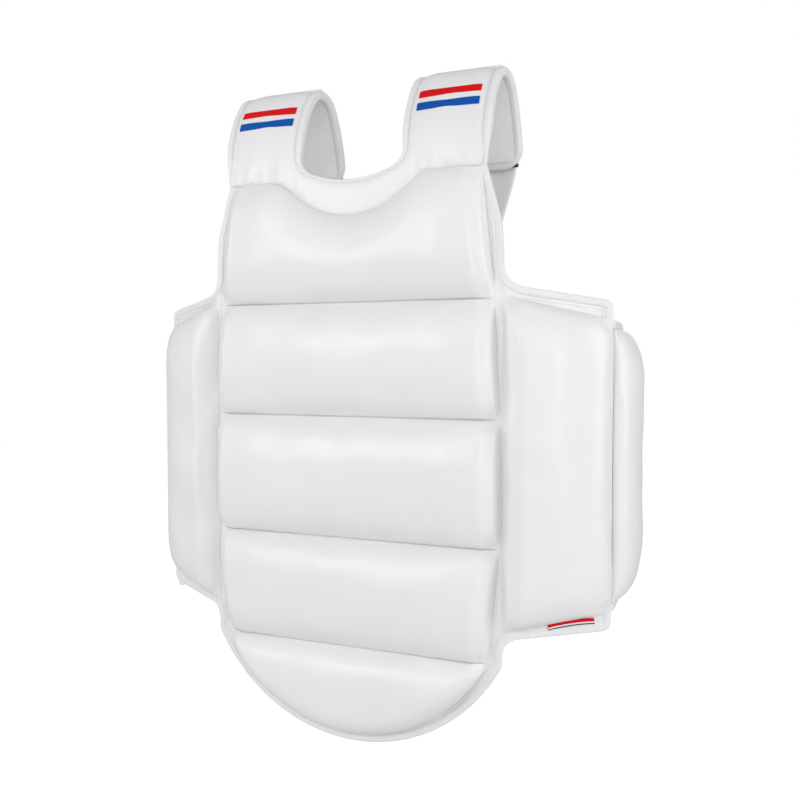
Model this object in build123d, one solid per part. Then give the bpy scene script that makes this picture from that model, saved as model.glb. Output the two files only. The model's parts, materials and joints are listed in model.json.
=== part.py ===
"""Chest protector for striking sports: a padded, jointed vest in its worn shape.

Millimetres. +X is the wearer's left, the front faces -Y and +Z is up. The origin is
the middle of the wearer's torso at the height of the waist belt. Every panel is a
lining sheet with padded cells sewn to its outer side: a thin cover with a foam insert.
The left side is modelled and the right side is its mirror image.
"""
from build123d import *

import os
from math import atan2, cos, degrees, radians, sin

# ---- materials ---------------------------------------------------------------------
LINING_T = 2.0          # lining sheet behind the cells
COVER_T = 1.2           # synthetic leather over the foam
TAPE_T = 0.5            # sewn decorative tape
PATCH_T = 1.0           # hook or loop patch
BINDING_T = 1.2         # folded tape round every free edge
BINDING_W = 6.0
FOLD_GAP = 2.0          # from a fold line to the sheet on each side of it
REAR_FOLD_GAP = 2.5     # the same at the sharper fold of the rear wing

# Each padded cell is a stack of layers: (rise, lean from upright in degrees).
CELL_STEPS = ((8.0, 15.0), (8.0, 40.0), (6.0, 65.0))
NECK_STEPS = ((9.0, 20.0),)
YOKE_STEPS = ((4.0, 20.0), (3.0, 50.0))

# ---- front panel -------------------------------------------------------------------
SEAM_PLANE_Y = -100.0   # plane in which the front cells are sewn to their lining
SIDE_FOLD_X = 151.5     # upright fold between the front panel and each wing
SEAM_GAP = 1.5          # from a sewn seam to the cell on each side of it
CELL_SIDE_GAP = 2.0
# Height and half width of the four level seams, from the lower flap upwards.
FLAP_SEAM = (-180.0, 139.0)
BELLY_SEAM = (-76.0, 151.5)
MIDDLE_SEAM = (40.0, 151.5)
CHEST_SEAM = (148.0, 146.0)
CHEST_TOP_HALF = 132.0
NECK_SEAM_LOW = 230.0   # curved seam over the chest cell: low at the middle
NECK_SEAM_HIGH = 266.0  # and level from here to the armholes
NECK_SEAM_TURN_X = 92.0
NECK_SEAM_R = 90.0
NECK_LOW = 261.0        # neckline
NECK_R = 120.0
NECK_CORNER_R = 24.0
NECK_ARC = 22.0
NECK_BAND_HALF = 66.0
ARMHOLE_X = 150.0
ARMHOLE_FOOT_Z = 186.0
ARMHOLE_SLANT_Z = 215.0 # from here the armhole edge slants in to the strap
ARMHOLE_HEAD_X = 136.0

# ---- lower flap --------------------------------------------------------------------
FLAP_HALF = 152.0       # half width and drop of the bound hem
FLAP_DROP = 91.5
FLAP_CELL_HALF = 138.0  # the same of the padded cell
FLAP_CELL_DROP = 82.0

# ---- shoulder straps ---------------------------------------------------------------
STRAP_FOLD_Z = 270.0
STRAP_START_Z = 271.5
STRAP_INNER_X = 60.0
STRAP_OUTER_X = 134.0
STRAP_FACE_Y = -102.5
STRAP_T = 10.0
STRAP_LIFT = 11.5       # straight rise before the strap starts to turn back
STRAP_FLARE = 18.0      # the foot of the strap is this much wider towards the neck
STRAP_FLARE_Z = 293.0   # height at which the flare ends
# (radius, turn in degrees) over the shoulder, from the front to the rear end.
STRAP_ARCS = ((110.0, 38.0), (32.0, 52.0), (29.4, 60.0), (160.0, 24.0))
STRIPE_W_DEG = 4.17
STRIPE_ANGLES = (31.8, 25.1)
STRIPE_X = (68.5, 125.5)
PATCH_X = (69.0, 125.0)

# ---- wings -------------------------------------------------------------------------
WING_TURN = 25.0        # how far the front wing is folded back from the front plane
WING_L = 99.0
# Free edges of the sheet, at the front fold and at the rear one. The fold end of the top
# and of the foot is a fillet, and the edge then runs upright along the fold.
WING_TOP = (160.0, 145.0)
WING_FOOT = (-157.0, -147.0)
WING_FOLD_FOOT_Z = -173.0
WING_FILLET_R = 15.0
# Cell of the wing: height at its front end and at its rear end.
WING_CELL_TOP = (150.0, 129.0)
WING_CELL_FOOT = (-149.5, -131.5)
WING_CELL_INSET = 3.0
LABEL_PLACE = (62.5, -141.0)
LABEL_SIZE = (36.0, 4.4)
LABEL_TILT = 8.5
REAR_TURN = 97.0
REAR_L = 88.0
REAR_HALF = 128.5
REAR_MID_Z = -1.5
REAR_CORNER_R = 42.0
REAR_FLANGE = 6.5

# ---- belt and back harness ---------------------------------------------------------
BELT_H = 54.0
BELT_T = 2.2
BELT_Y = 67.1           # mid-plane of the long elastic across the back
BELT_END_X = 122.0
SIDE_ELASTIC_Y = 62.55
SIDE_ELASTIC_END_X = 60.0
BELT_HOOK_X = (64.0, 118.0)
BELT_HOOK_T = 0.8
PULL_TAB_L = 12.0
PULL_TAB_T = 3.0
PULL_TAB_HALF_Z = 22.0
SIDE_LOOP_INSET = 2.0
SIDE_LOOP_L = 90.0
BELT_PATCH_HALF_Z = 24.0
BELT_ROOT = 1.5         # from the bound edge of the rear wing to the belt's fold line
HOOK_GAP = 0.4          # between a hook patch and the loop patch that it grips
HARNESS_T = 4.0
HARNESS_X = (61.5, 132.5)
HARNESS_FOOT_Z = 33.0
HEM_DROP = 2.0          # from the shoulder strap's end down to the folded hem under it
HEM_H = 4.0
HEM_T = 6.5
HEM_SIDE = 1.0          # the hem is this much wider than the strap on each side
PATCH_SKIP_DEG = 20.0   # the loop patch starts this far behind the crest of the shoulder
HARNESS_SKIP_DEG = 12.0
HARNESS_RUN_ON = 6.0    # straight end of the rear strap before it falls to the yoke
STRAP_OVERLAP = 2.0     # the two stretches of a rear strap overlap by this much
REAR_STRAP_DROP = 124.0
REAR_STRAP_LEAN = 50.0
YOKE_HALF = 84.0
YOKE_SIDE = 20.0
YOKE_DROP = 84.0
TAIL_HALF = 30.0
SLEEVE_HALF_X = 33.0
SLEEVE_WALL = 1.5
SLEEVE_CLEAR = 0.5
SLEEVE_SIDE = 1.0       # the sleeve's opening runs past its ends
YOKE_FOOT_SIDE = 6.0    # the foot of the yoke is this much wider than the tail

# ---- reach of cutting blocks -------------------------------------------------------
FAR = 300.0             # past every edge of the object
CUT_T = 10.0            # past both faces of a sheet
TOUCH = 0.2             # small overlap or gap between two pieces that meet


# ---- helpers -----------------------------------------------------------------------
def heading(angle):
    """Unit vector in the plane at this angle from the first axis."""
    return Vector(cos(radians(angle)), sin(radians(angle)))


def right_of(angle):
    """Unit vector to the right of a line that runs at this angle."""
    return heading(angle - 90)


def polygon(points):
    """Flat face with straight edges. The corners run anticlockwise."""
    return make_face(Polyline(*points, close=True))


def block(low, high):
    """Box between two corners."""
    size = [b - a for a, b in zip(low, high)]
    middle = [(a + b) / 2 for a, b in zip(low, high)]
    return Pos(*middle) * Box(*size)


def mirrored(solid):
    """The same piece on the wearer's right."""
    return mirror(solid, about=Plane.YZ)


def pillow(outline, steps):
    """Crowned solid on the outline, made of tapered layers."""
    solid = extrude(outline, amount=steps[0][0], taper=steps[0][1])
    for rise, lean in steps[1:]:
        top = solid.faces().sort_by(Axis.Z)[-1]
        solid += extrude(top, amount=rise, taper=lean)
    return solid


def padded_cell(outline, steps):
    """Cover and foam insert of one cell. The cover is open towards the lining."""
    inside = Pos(0, 0, -COVER_T) * pillow(offset(outline, -COVER_T), steps)
    foam = split(inside, bisect_by=Plane.XY, keep=Keep.TOP)
    return pillow(outline, steps) - foam, foam


def bound_sheet(outline, keep):
    """Lining sheet and the folded tape round its free edges.

    The outline runs on past each fold line, and keep cuts both pieces back to it.
    """
    sheet = extrude(offset(outline, -BINDING_T), amount=-LINING_T)
    rim = outline - offset(outline, -BINDING_W)
    tape = Pos(0, 0, -LINING_T - BINDING_T) * extrude(rim, amount=LINING_T + 2 * BINDING_T)
    return sheet & keep, (tape - sheet) & keep


def edges_of_run(start, angle, arcs, inset):
    """Edges of a line of tangent right-hand arcs, moved to its right by inset."""
    point = Vector(*start) + right_of(angle) * inset
    edges = []
    for radius, turn in arcs:
        if radius is None:
            edge = Line(point, point + heading(angle) * turn)
        else:
            edge = JernArc(point, heading(angle), radius - inset, -turn)
            angle -= turn
        edges.append(edge)
        point = edge @ 1
    return edges


def band(start, angle, arcs, near, far):
    """Face between two insets of the same run."""
    left = edges_of_run(start, angle, arcs, near)
    right = edges_of_run(start, angle, arcs, far)
    ends = [Line(left[0] @ 0, right[0] @ 0), Line(left[-1] @ 1, right[-1] @ 1)]
    return make_face([*left, *right, *ends])


def across(face, x_range):
    """Face drawn in (Y, Z), run across the body between two X positions."""
    return extrude(Plane.YZ.offset(x_range[0]) * face, amount=x_range[1] - x_range[0])


# ---- planes of the panels ----------------------------------------------------------
def wing_plane(x, y, angle):
    """Panel plane on the wearer's left: u runs back round the torso, the normal out."""
    along = heading(angle)
    return Plane(origin=(x, y, 0), x_dir=(along.X, along.Y, 0), z_dir=(along.Y, -along.X, 0))


FRONT = wing_plane(0, SEAM_PLANE_Y, 0)
WING = wing_plane(SIDE_FOLD_X, SEAM_PLANE_Y, WING_TURN)
REAR_FOLD = WING.origin + WING.x_dir * WING_L
REAR = wing_plane(REAR_FOLD.X, REAR_FOLD.Y, REAR_TURN)
BELT_FOLD = REAR.origin + REAR.x_dir * (REAR_L + BELT_ROOT) - REAR.z_dir * (LINING_T / 2)

nodes = {}


def add(name, solid, place=None):
    """Keep one named piece, moved from its panel's plane to the row frame."""
    nodes[name] = place.location * solid if place else solid


def add_pair(name, solid, place=None):
    """Keep a piece on the wearer's left and its mirror image on the right."""
    add("left_" + name, solid, place)
    add("right_" + name, mirrored(nodes["left_" + name]))


# ---- front panel -------------------------------------------------------------------
def neck_seam_parts(shift):
    """The curved seam as three tangent arcs, raised by shift."""
    rise = NECK_SEAM_HIGH - NECK_SEAM_LOW
    reach = (NECK_SEAM_TURN_X ** 2 + rise ** 2) / (2 * rise)
    half = degrees(atan2(NECK_SEAM_TURN_X, reach - rise))
    shoulder_r = reach - NECK_SEAM_R
    middle = CenterArc((0, NECK_SEAM_LOW + NECK_SEAM_R + shift), NECK_SEAM_R, -90 - half, 2 * half)
    shoulder_z = NECK_SEAM_HIGH - shoulder_r + shift
    left = CenterArc((NECK_SEAM_TURN_X, shoulder_z), shoulder_r, 90, half)
    right = CenterArc((-NECK_SEAM_TURN_X, shoulder_z), shoulder_r, 90 - half, half)
    return [right, middle, left]


def below_neck_seam(shift, half_low, half_high, bottom):
    """Face under the curved seam."""
    seam = neck_seam_parts(shift)
    top = NECK_SEAM_HIGH + shift
    rest = Polyline(
        (NECK_SEAM_TURN_X, top),
        (half_high, top),
        (half_low, bottom),
        (-half_low, bottom),
        (-half_high, top),
        (-NECK_SEAM_TURN_X, top),
    )
    return make_face([*seam, *rest.edges()])


def neck_hole():
    """The U of the neckline, open upwards, drawn in (X, Z)."""
    bottom = CenterArc((0, NECK_LOW + NECK_R), NECK_R, -90 - NECK_ARC, 2 * NECK_ARC)
    left = JernArc(bottom @ 1, heading(NECK_ARC), NECK_CORNER_R, 90 - NECK_ARC)
    top = Vector(0, NECK_SEAM_HIGH * 2)
    half = (left @ 1).X
    right = JernArc(bottom @ 0, -heading(-NECK_ARC), NECK_CORNER_R, NECK_ARC - 90)
    frame = Polyline(left @ 1, (half, top.Y), (-half, top.Y), right @ 1)
    return make_face([bottom, left, right, *frame.edges()])


def cell_outline(low_seam, high_seam):
    """Level cell between two seams."""
    low, low_half = low_seam[0] + SEAM_GAP, low_seam[1] - CELL_SIDE_GAP
    high, high_half = high_seam[0] - SEAM_GAP, high_seam[1] - CELL_SIDE_GAP
    return polygon([(-low_half, low), (low_half, low), (high_half, high), (-high_half, high)])


def front_panel():
    """Lining, four level cells, the neck band and the bound edges of the front."""
    side = SIDE_FOLD_X + 3 * BINDING_W
    foot = FLAP_SEAM[0] - 2 * BINDING_W
    head = NECK_SEAM_HIGH + 3 * BINDING_W
    left = [
        (side, foot), (side, ARMHOLE_FOOT_Z), (ARMHOLE_X, ARMHOLE_FOOT_Z),
        (ARMHOLE_X, ARMHOLE_SLANT_Z), (ARMHOLE_HEAD_X, NECK_SEAM_HIGH), (ARMHOLE_HEAD_X, head),
    ]
    right = [(-x, z) for x, z in reversed(left)]
    outline = polygon(left + right) - neck_hole()
    half = SIDE_FOLD_X - FOLD_GAP
    keep = block((-half, FLAP_SEAM[0] + FOLD_GAP, -CUT_T), (half, STRAP_FOLD_Z - FOLD_GAP, CUT_T))
    lining, binding = bound_sheet(outline, keep)
    add("front_lining", lining, FRONT)
    add("front_binding", binding, FRONT)
    cells = {
        "belly": cell_outline(FLAP_SEAM, BELLY_SEAM),
        "middle": cell_outline(BELLY_SEAM, MIDDLE_SEAM),
        "upper": cell_outline(MIDDLE_SEAM, CHEST_SEAM),
        "chest": below_neck_seam(
            -SEAM_GAP, CHEST_SEAM[1] - CELL_SIDE_GAP, CHEST_TOP_HALF - CELL_SIDE_GAP,
            CHEST_SEAM[0] + SEAM_GAP),
    }
    for name, face in cells.items():
        cover, foam = padded_cell(face, CELL_STEPS)
        add(name + "_cover", cover, FRONT)
        add(name + "_foam", foam, FRONT)
    top = STRAP_FOLD_Z - FOLD_GAP
    band_box = polygon([
        (-NECK_BAND_HALF, CHEST_SEAM[0]), (NECK_BAND_HALF, CHEST_SEAM[0]),
        (NECK_BAND_HALF, top), (-NECK_BAND_HALF, top),
    ])
    under = below_neck_seam(SEAM_GAP, ARMHOLE_X, ARMHOLE_X, CHEST_SEAM[0] - SEAM_GAP)
    crescent = band_box - under - offset(neck_hole(), BINDING_W + TOUCH)
    cover, foam = padded_cell(crescent, NECK_STEPS)
    add("neck_band_cover", cover, FRONT)
    add("neck_band_foam", foam, FRONT)


def half_moon(half, top, depth):
    """Face under a level chord, rounded below."""
    radius = (half ** 2 + depth ** 2) / (2 * depth)
    arc = RadiusArc((-half, top), (half, top), -radius, short_sagitta=True)
    return make_face([arc, Line((-half, top), (half, top))])


def lower_flap():
    """Half-moon flap that hangs from the lowest seam."""
    top = FLAP_SEAM[0]
    half = FLAP_HALF
    head = top + 3 * BINDING_W
    flange = half_moon(half, top, FLAP_DROP)
    flange += polygon([(-half, top), (half, top), (half, head), (-half, head)])
    keep = block((-FAR, top - FAR, -CUT_T), (FAR, top - FOLD_GAP, CUT_T))
    lining, binding = bound_sheet(flange, keep)
    cell = half_moon(FLAP_CELL_HALF, top - SEAM_GAP, FLAP_CELL_DROP)
    cover, foam = padded_cell(cell, CELL_STEPS)
    add("flap_lining", lining, FRONT)
    add("flap_binding", binding, FRONT)
    add("flap_cover", cover, FRONT)
    add("flap_foam", foam, FRONT)


# ---- wings -------------------------------------------------------------------------
def front_wings():
    """Wing beside the front panel, with a flat bound flange over and under its cell."""
    end = WING_L - REAR_FOLD_GAP
    before, run_on = -3 * BINDING_W, end + 2 * BINDING_W
    top = REAR_MID_Z + REAR_HALF + 2 * BINDING_W
    foot = REAR_MID_Z - REAR_HALF - 2 * BINDING_W
    outline = polygon([
        (before, WING_FOLD_FOOT_Z), (0, WING_FOLD_FOOT_Z), (0, WING_FOOT[0]), (end, WING_FOOT[1]),
        (end, foot), (run_on, foot), (run_on, top), (end, top), (end, WING_TOP[1]),
        (0, WING_TOP[0]), (0, ARMHOLE_FOOT_Z), (before, ARMHOLE_FOOT_Z),
    ])
    at_fold = outline.vertices().filter_by(lambda v: v.X == 0 and v.Y in (WING_FOOT[0], WING_TOP[0]))
    outline = fillet(at_fold, WING_FILLET_R)
    keep = block((FOLD_GAP, -FAR, -CUT_T), (end, FAR, CUT_T))
    lining, binding = bound_sheet(outline, keep)
    near, far = WING_CELL_INSET, end - 1
    face = polygon([
        (near, WING_CELL_FOOT[0]), (far, WING_CELL_FOOT[1]),
        (far, WING_CELL_TOP[1]), (near, WING_CELL_TOP[0]),
    ])
    cover, foam = padded_cell(face, CELL_STEPS)
    add_pair("wing_lining", lining, WING)
    add_pair("wing_binding", binding, WING)
    add_pair("wing_cover", cover, WING)
    add_pair("wing_foam", foam, WING)
    tape = Rot(0, 0, LABEL_TILT) * Box(*LABEL_SIZE, 2 * TAPE_T)
    label = Pos(*LABEL_PLACE, TAPE_T) * tape
    add("side_label", label, WING)


def rear_wings():
    """Wing that wraps the flank, with round rear corners."""
    def outline(inset, front):
        low = REAR_MID_Z - REAR_HALF + inset
        high = REAR_MID_Z + REAR_HALF - inset
        back = REAR_L - inset
        face = polygon([(front, low), (back, low), (back, high), (front, high)])
        corners = face.vertices().filter_by(lambda v: v.X > front + 1)
        return fillet(corners, REAR_CORNER_R - inset)

    keep = block((REAR_FOLD_GAP, -FAR, -CUT_T), (FAR, FAR, CUT_T))
    lining, binding = bound_sheet(outline(0, -3 * BINDING_W), keep)
    cover, foam = padded_cell(outline(REAR_FLANGE, REAR_FOLD_GAP + 1), CELL_STEPS)
    add_pair("rear_wing_lining", lining, REAR)
    add_pair("rear_wing_binding", binding, REAR)
    add_pair("rear_wing_cover", cover, REAR)
    add_pair("rear_wing_foam", foam, REAR)


# ---- shoulder straps ---------------------------------------------------------------
STRAP_START = (STRAP_FACE_Y, STRAP_START_Z)
STRAP_RUN = ((None, STRAP_LIFT), *STRAP_ARCS)


def strap_layer(near, far, x_range):
    """Layer of the strap between two depths below its outer face."""
    return across(band(STRAP_START, 90, STRAP_RUN, near, far), x_range)


def shoulder_straps():
    """Padded strap that arches over the shoulder and ends behind it."""
    hole = extrude(Plane.XZ.offset(-FAR) * neck_hole(), amount=2 * FAR)
    rear_box = block((0, STRAP_FACE_Y + 3 * STRAP_T, 0), (STRAP_INNER_X, FAR, 2 * FAR))
    core_x = (STRAP_INNER_X - STRAP_FLARE, STRAP_OUTER_X - BINDING_T)
    edge = block((0, -FAR, STRAP_FLARE_Z), (STRAP_INNER_X + BINDING_T, FAR, 2 * FAR))
    trim = hole + rear_box + edge
    cover = strap_layer(0, COVER_T, core_x) - trim
    foam = strap_layer(COVER_T, STRAP_T - COVER_T, core_x) - trim
    lining = strap_layer(STRAP_T - COVER_T, STRAP_T, core_x) - trim
    outside = strap_layer(-BINDING_T / 2, STRAP_T + BINDING_T / 2, (STRAP_INNER_X, STRAP_OUTER_X))
    bound_x = (STRAP_INNER_X + BINDING_W, STRAP_OUTER_X - BINDING_W)
    middle = block((bound_x[0], -FAR, 0), (bound_x[1], FAR, 2 * FAR))
    front_corner = block((0, -FAR, 0), (bound_x[0], STRAP_FACE_Y + 3 * STRAP_T, STRAP_FLARE_Z))
    binding = outside - middle - front_corner - cover - foam - lining
    add_pair("strap_cover", cover)
    add_pair("strap_foam", foam)
    add_pair("strap_lining", lining)
    add_pair("strap_binding", binding)
    tapes = [stripe(angle) for angle in STRIPE_ANGLES]
    add_pair("stripe_tapes", Compound(tapes))
    patch = across(band(*rear_run(PATCH_SKIP_DEG), -PATCH_T, 0), PATCH_X)
    add_pair("loop_patch", patch)


def stripe(angle):
    """Decorative tape sewn across the front of a strap."""
    radius = STRAP_ARCS[0][0]
    centre = (STRAP_FACE_Y + radius, STRAP_START_Z + STRAP_LIFT)
    first = 180 - angle - STRIPE_W_DEG / 2
    near = CenterArc(centre, radius, first, STRIPE_W_DEG)
    far = CenterArc(centre, radius + TAPE_T, first, STRIPE_W_DEG)
    sides = [Line(near @ 0, far @ 0), Line(near @ 1, far @ 1)]
    return across(make_face([near, far, *sides]), STRIPE_X).solid()


def rear_run(skip):
    """Rear half of the strap's line, from skip degrees behind the crest to its end."""
    over = edges_of_run(STRAP_START, 90, STRAP_RUN[:3], 0)
    crest_r, crest_turn = STRAP_ARCS[2]
    to_start = JernArc(over[-1] @ 1, heading(0), crest_r, -skip)
    return to_start @ 1, -skip, ((crest_r, crest_turn - skip), STRAP_ARCS[3])


# ---- belt --------------------------------------------------------------------------
def elastic(y, end_x):
    """Elastic that leaves the left rear wing, rounds the flank and runs to end_x."""
    turn = 180 - REAR_TURN
    start = BELT_FOLD + REAR.x_dir * (BELT_ROOT / 2)
    radius = (y - start.Y) / (1 - cos(radians(turn)))
    straight_x = start.X - radius * sin(radians(turn))
    left = edges_of_turn(start, radius + BELT_T / 2, turn, end_x - straight_x, -BELT_T / 2)
    right = edges_of_turn(start, radius - BELT_T / 2, turn, end_x - straight_x, BELT_T / 2)
    ends = [Line(left[0] @ 0, right[0] @ 0), Line(left[1] @ 1, right[1] @ 1)]
    face = make_face([*left, *right, *ends])
    return Pos(0, 0, -BELT_H / 2) * extrude(face, amount=BELT_H)


def edges_of_turn(start, radius, turn, run, inset):
    """One face of the elastic: a left-hand arc and the straight run across the back."""
    point = Vector(start.X, start.Y) - right_of(REAR_TURN) * inset
    arc = JernArc(point, heading(REAR_TURN), radius, turn)
    return [arc, Line(arc @ 1, (arc @ 1) + Vector(run, 0))]


def plate(x_range, y_range, half_z):
    """Flat upright patch across the back."""
    return block((x_range[0], y_range[0], -half_z), (x_range[1], y_range[1], half_z))


def waist_belt():
    """Long elastic from the right rear wing, and the short one that it fastens to."""
    add("belt_elastic", mirrored(elastic(BELT_Y, -BELT_END_X)))
    belt_in = BELT_Y - BELT_T / 2
    hook_y = (belt_in - BELT_HOOK_T, belt_in)
    add("belt_hook_patch", plate(BELT_HOOK_X, hook_y, BELT_PATCH_HALF_Z))
    tab_x = (BELT_END_X, BELT_END_X + PULL_TAB_L)
    tab_y = (BELT_Y - PULL_TAB_T / 2, BELT_Y + PULL_TAB_T / 2)
    add("belt_pull_tab", plate(tab_x, tab_y, PULL_TAB_HALF_Z))
    add("side_elastic", elastic(SIDE_ELASTIC_Y, SIDE_ELASTIC_END_X))
    side_out = SIDE_ELASTIC_Y + BELT_T / 2
    loop_low = SIDE_ELASTIC_END_X + SIDE_LOOP_INSET
    loop_x = (loop_low, loop_low + SIDE_LOOP_L)
    add("side_loop_patch", plate(loop_x, (side_out, side_out + PATCH_T), BELT_PATCH_HALF_Z))


# ---- back harness ------------------------------------------------------------------
def back_harness():
    """Two rear straps, a padded yoke between the shoulder blades, and the belt sleeve."""
    start, angle, arcs = rear_run(HARNESS_SKIP_DEG)
    run = (*arcs, (None, HARNESS_RUN_ON))
    near = -PATCH_T - HOOK_GAP - PATCH_T
    far = near - HARNESS_T
    over = across(band(start, angle, run, far, near), HARNESS_X)
    foot = edges_of_run(start, angle, run, (near + far) / 2)[-1] @ 1
    fall = Vector(0, BELT_Y - foot.X, HARNESS_FOOT_Z - foot.Y)
    length = fall.length
    down = fall.normalized()
    back = Plane(origin=(0, foot.X, foot.Y), x_dir=(-1, 0, 0), z_dir=(0, -down.Z, down.Y))
    outer, inner = -HARNESS_X[1], -HARNESS_X[0]
    low = -REAR_STRAP_DROP
    fall_face = polygon([
        (outer, STRAP_OVERLAP), (inner, STRAP_OVERLAP), (inner, 0), (inner + REAR_STRAP_LEAN, low),
        (outer + REAR_STRAP_LEAN, low), (outer, 0),
    ])
    fall_plate = Pos(0, 0, -HARNESS_T / 2) * extrude(fall_face, amount=HARNESS_T)
    add_pair("rear_strap", (over + back.location * fall_plate).solid())
    patch_run = (*arcs, (None, HEM_DROP))
    hook = across(band(start, angle, patch_run, near, near + PATCH_T), PATCH_X)
    end = edges_of_run(start, angle, patch_run, near)[-1] @ 1
    hem_low = (HARNESS_X[0] - HEM_SIDE, end.X - HEM_T, end.Y - HEM_H)
    hem = block(hem_low, (HARNESS_X[1] + HEM_SIDE, end.X, end.Y + TOUCH))
    add_pair("rear_hook_patch", (hook + hem).solid())

    foot_y = low - YOKE_DROP
    foot_half = TAIL_HALF + YOKE_FOOT_SIDE
    yoke = polygon([
        (-YOKE_HALF, low), (-YOKE_HALF, low - YOKE_SIDE), (-foot_half, foot_y),
        (foot_half, foot_y), (YOKE_HALF, low - YOKE_SIDE), (YOKE_HALF, low),
    ])
    cover, foam = padded_cell(yoke, YOKE_STEPS)
    add("back_yoke_lining", extrude(yoke, amount=-LINING_T), back)
    add("back_yoke_cover", cover, back)
    add("back_yoke_foam", foam, back)
    tail_face = polygon([
        (-TAIL_HALF, foot_y), (TAIL_HALF, foot_y), (TAIL_HALF, -length), (-TAIL_HALF, -length),
    ])
    tail = back.location * (Pos(0, 0, -HARNESS_T / 2) * extrude(tail_face, amount=HARNESS_T))
    room = (SLEEVE_HALF_X + SLEEVE_SIDE, BELT_T / 2 + SLEEVE_CLEAR, BELT_H / 2 + SLEEVE_CLEAR)
    skin = (SLEEVE_HALF_X, room[1] + SLEEVE_WALL, HARNESS_FOOT_Z + STRAP_OVERLAP)
    sleeve = Pos(0, BELT_Y, 0) * Box(*[2 * half for half in skin])
    opening = Pos(0, BELT_Y, 0) * Box(*[2 * half for half in room])
    add("belt_sleeve", (tail + sleeve - opening).solid())


front_panel()
lower_flap()
front_wings()
rear_wings()
shoulder_straps()
waist_belt()
back_harness()

os.makedirs("parts", exist_ok=True)
for name, solid in nodes.items():
    export_step(solid, os.path.join("parts", name + ".step"))
    print(name, len(solid.solids()), round(solid.volume))
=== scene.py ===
"""Looks of the padded chest protector, laid out as an add-on with one operator for each group of pieces."""
import json
import math
from functools import partial

import bmesh
import bpy
import numpy as np
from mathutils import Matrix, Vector, geometry


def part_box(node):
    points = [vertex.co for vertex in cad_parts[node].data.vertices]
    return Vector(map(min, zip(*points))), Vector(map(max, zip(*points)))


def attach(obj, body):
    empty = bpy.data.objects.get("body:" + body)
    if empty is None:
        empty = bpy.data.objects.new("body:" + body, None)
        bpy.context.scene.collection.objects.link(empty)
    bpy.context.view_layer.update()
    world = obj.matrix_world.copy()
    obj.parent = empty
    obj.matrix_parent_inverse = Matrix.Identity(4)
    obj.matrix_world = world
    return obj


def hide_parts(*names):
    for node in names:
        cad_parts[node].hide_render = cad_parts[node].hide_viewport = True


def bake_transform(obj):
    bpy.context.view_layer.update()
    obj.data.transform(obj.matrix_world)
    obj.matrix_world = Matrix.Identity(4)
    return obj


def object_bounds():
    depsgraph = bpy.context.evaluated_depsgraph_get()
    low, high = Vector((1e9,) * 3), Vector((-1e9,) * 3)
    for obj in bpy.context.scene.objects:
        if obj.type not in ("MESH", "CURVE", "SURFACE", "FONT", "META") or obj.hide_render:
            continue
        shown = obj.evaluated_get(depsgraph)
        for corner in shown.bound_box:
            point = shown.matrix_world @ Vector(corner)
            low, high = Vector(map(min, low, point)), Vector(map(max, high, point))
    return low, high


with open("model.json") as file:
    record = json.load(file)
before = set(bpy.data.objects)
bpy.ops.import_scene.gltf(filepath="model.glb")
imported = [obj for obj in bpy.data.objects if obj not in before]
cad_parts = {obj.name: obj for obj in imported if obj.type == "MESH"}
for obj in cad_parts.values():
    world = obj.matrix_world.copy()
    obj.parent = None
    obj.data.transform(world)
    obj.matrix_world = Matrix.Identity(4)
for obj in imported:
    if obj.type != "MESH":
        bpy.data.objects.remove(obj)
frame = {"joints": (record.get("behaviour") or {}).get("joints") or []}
CAD_BOX = [list(corner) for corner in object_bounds()]

bl_info = {
    "name": "Chest protector",
    "version": (1, 0, 0),
    "blender": (4, 5, 0),
    "location": "View3D > Sidebar > Protector",
    "description": "Builds the covers, straps, edges and stitching of a padded chest protector",
    "category": "Add Mesh",
}

MM = 0.001
SIDES = {"left": 1, "right": -1}
JOINTS = {joint["name"]: joint for joint in frame["joints"]}


# ---- sizes read from the frame -----------------------------------------------------
def low(node):
    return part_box(node)[0]


def high(node):
    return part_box(node)[1]


def between(lower_node, upper_node):
    """Height of the sewn seam between two cells that lie one above the other."""
    return (high(lower_node).z + low(upper_node).z) / 2


SEAM_Y = JOINTS["left_wing_fold"]["pos_m"][1]
SIDE_X = JOINTS["left_wing_fold"]["pos_m"][0]
REAR_POINT = JOINTS["left_rear_wing_fold"]["pos_m"]
WING_LENGTH = math.hypot(REAR_POINT[0] - SIDE_X, REAR_POINT[1] - SEAM_Y)
WING_TURN = math.radians(JOINTS["right_wing_fold"]["range_deg"][1])
REAR_TURN = WING_TURN + math.radians(JOINTS["right_rear_wing_fold"]["range_deg"][1])
REAR_LOW, REAR_HIGH = low("left_rear_wing_binding").z, high("left_rear_wing_binding").z
REAR_LENGTH = 88 * MM
SEAM_GROWTH = 1.2 * MM          # the sewn covers reach further than the plain solids
SEAMS = {
    "flap": (between("flap_cover", "belly_cover"), high("flap_cover").x + SEAM_GROWTH),
    "belly": (between("belly_cover", "middle_cover"), high("belly_cover").x + SEAM_GROWTH),
    "middle": (between("middle_cover", "upper_cover"), high("middle_cover").x + SEAM_GROWTH),
    "chest": (between("upper_cover", "chest_cover"), high("chest_cover").x + SEAM_GROWTH),
}
NECK_SEAM_TOP = high("chest_cover").z + 1.5 * MM
CHEST_TOP_HALF = 133 * MM
STRAP_IN, STRAP_OUT = low("left_strap_binding").x, high("left_strap_binding").x
STRAP_FACE_Y = low("left_strap_cover").y
STRAP_MIDDLE = (STRAP_IN + STRAP_OUT) / 2
STRAP_BEND_Z = 283 * MM
STRAP_ARCS = ((110 * MM, 38), (32 * MM, 52), (29.4 * MM, 60), (160 * MM, 24))   # radius, degrees
SHARP_FROM = math.radians(55)   # edges folded harder than this are shaded sharp
MERGE = 2e-6                    # points nearer than this are one point


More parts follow.
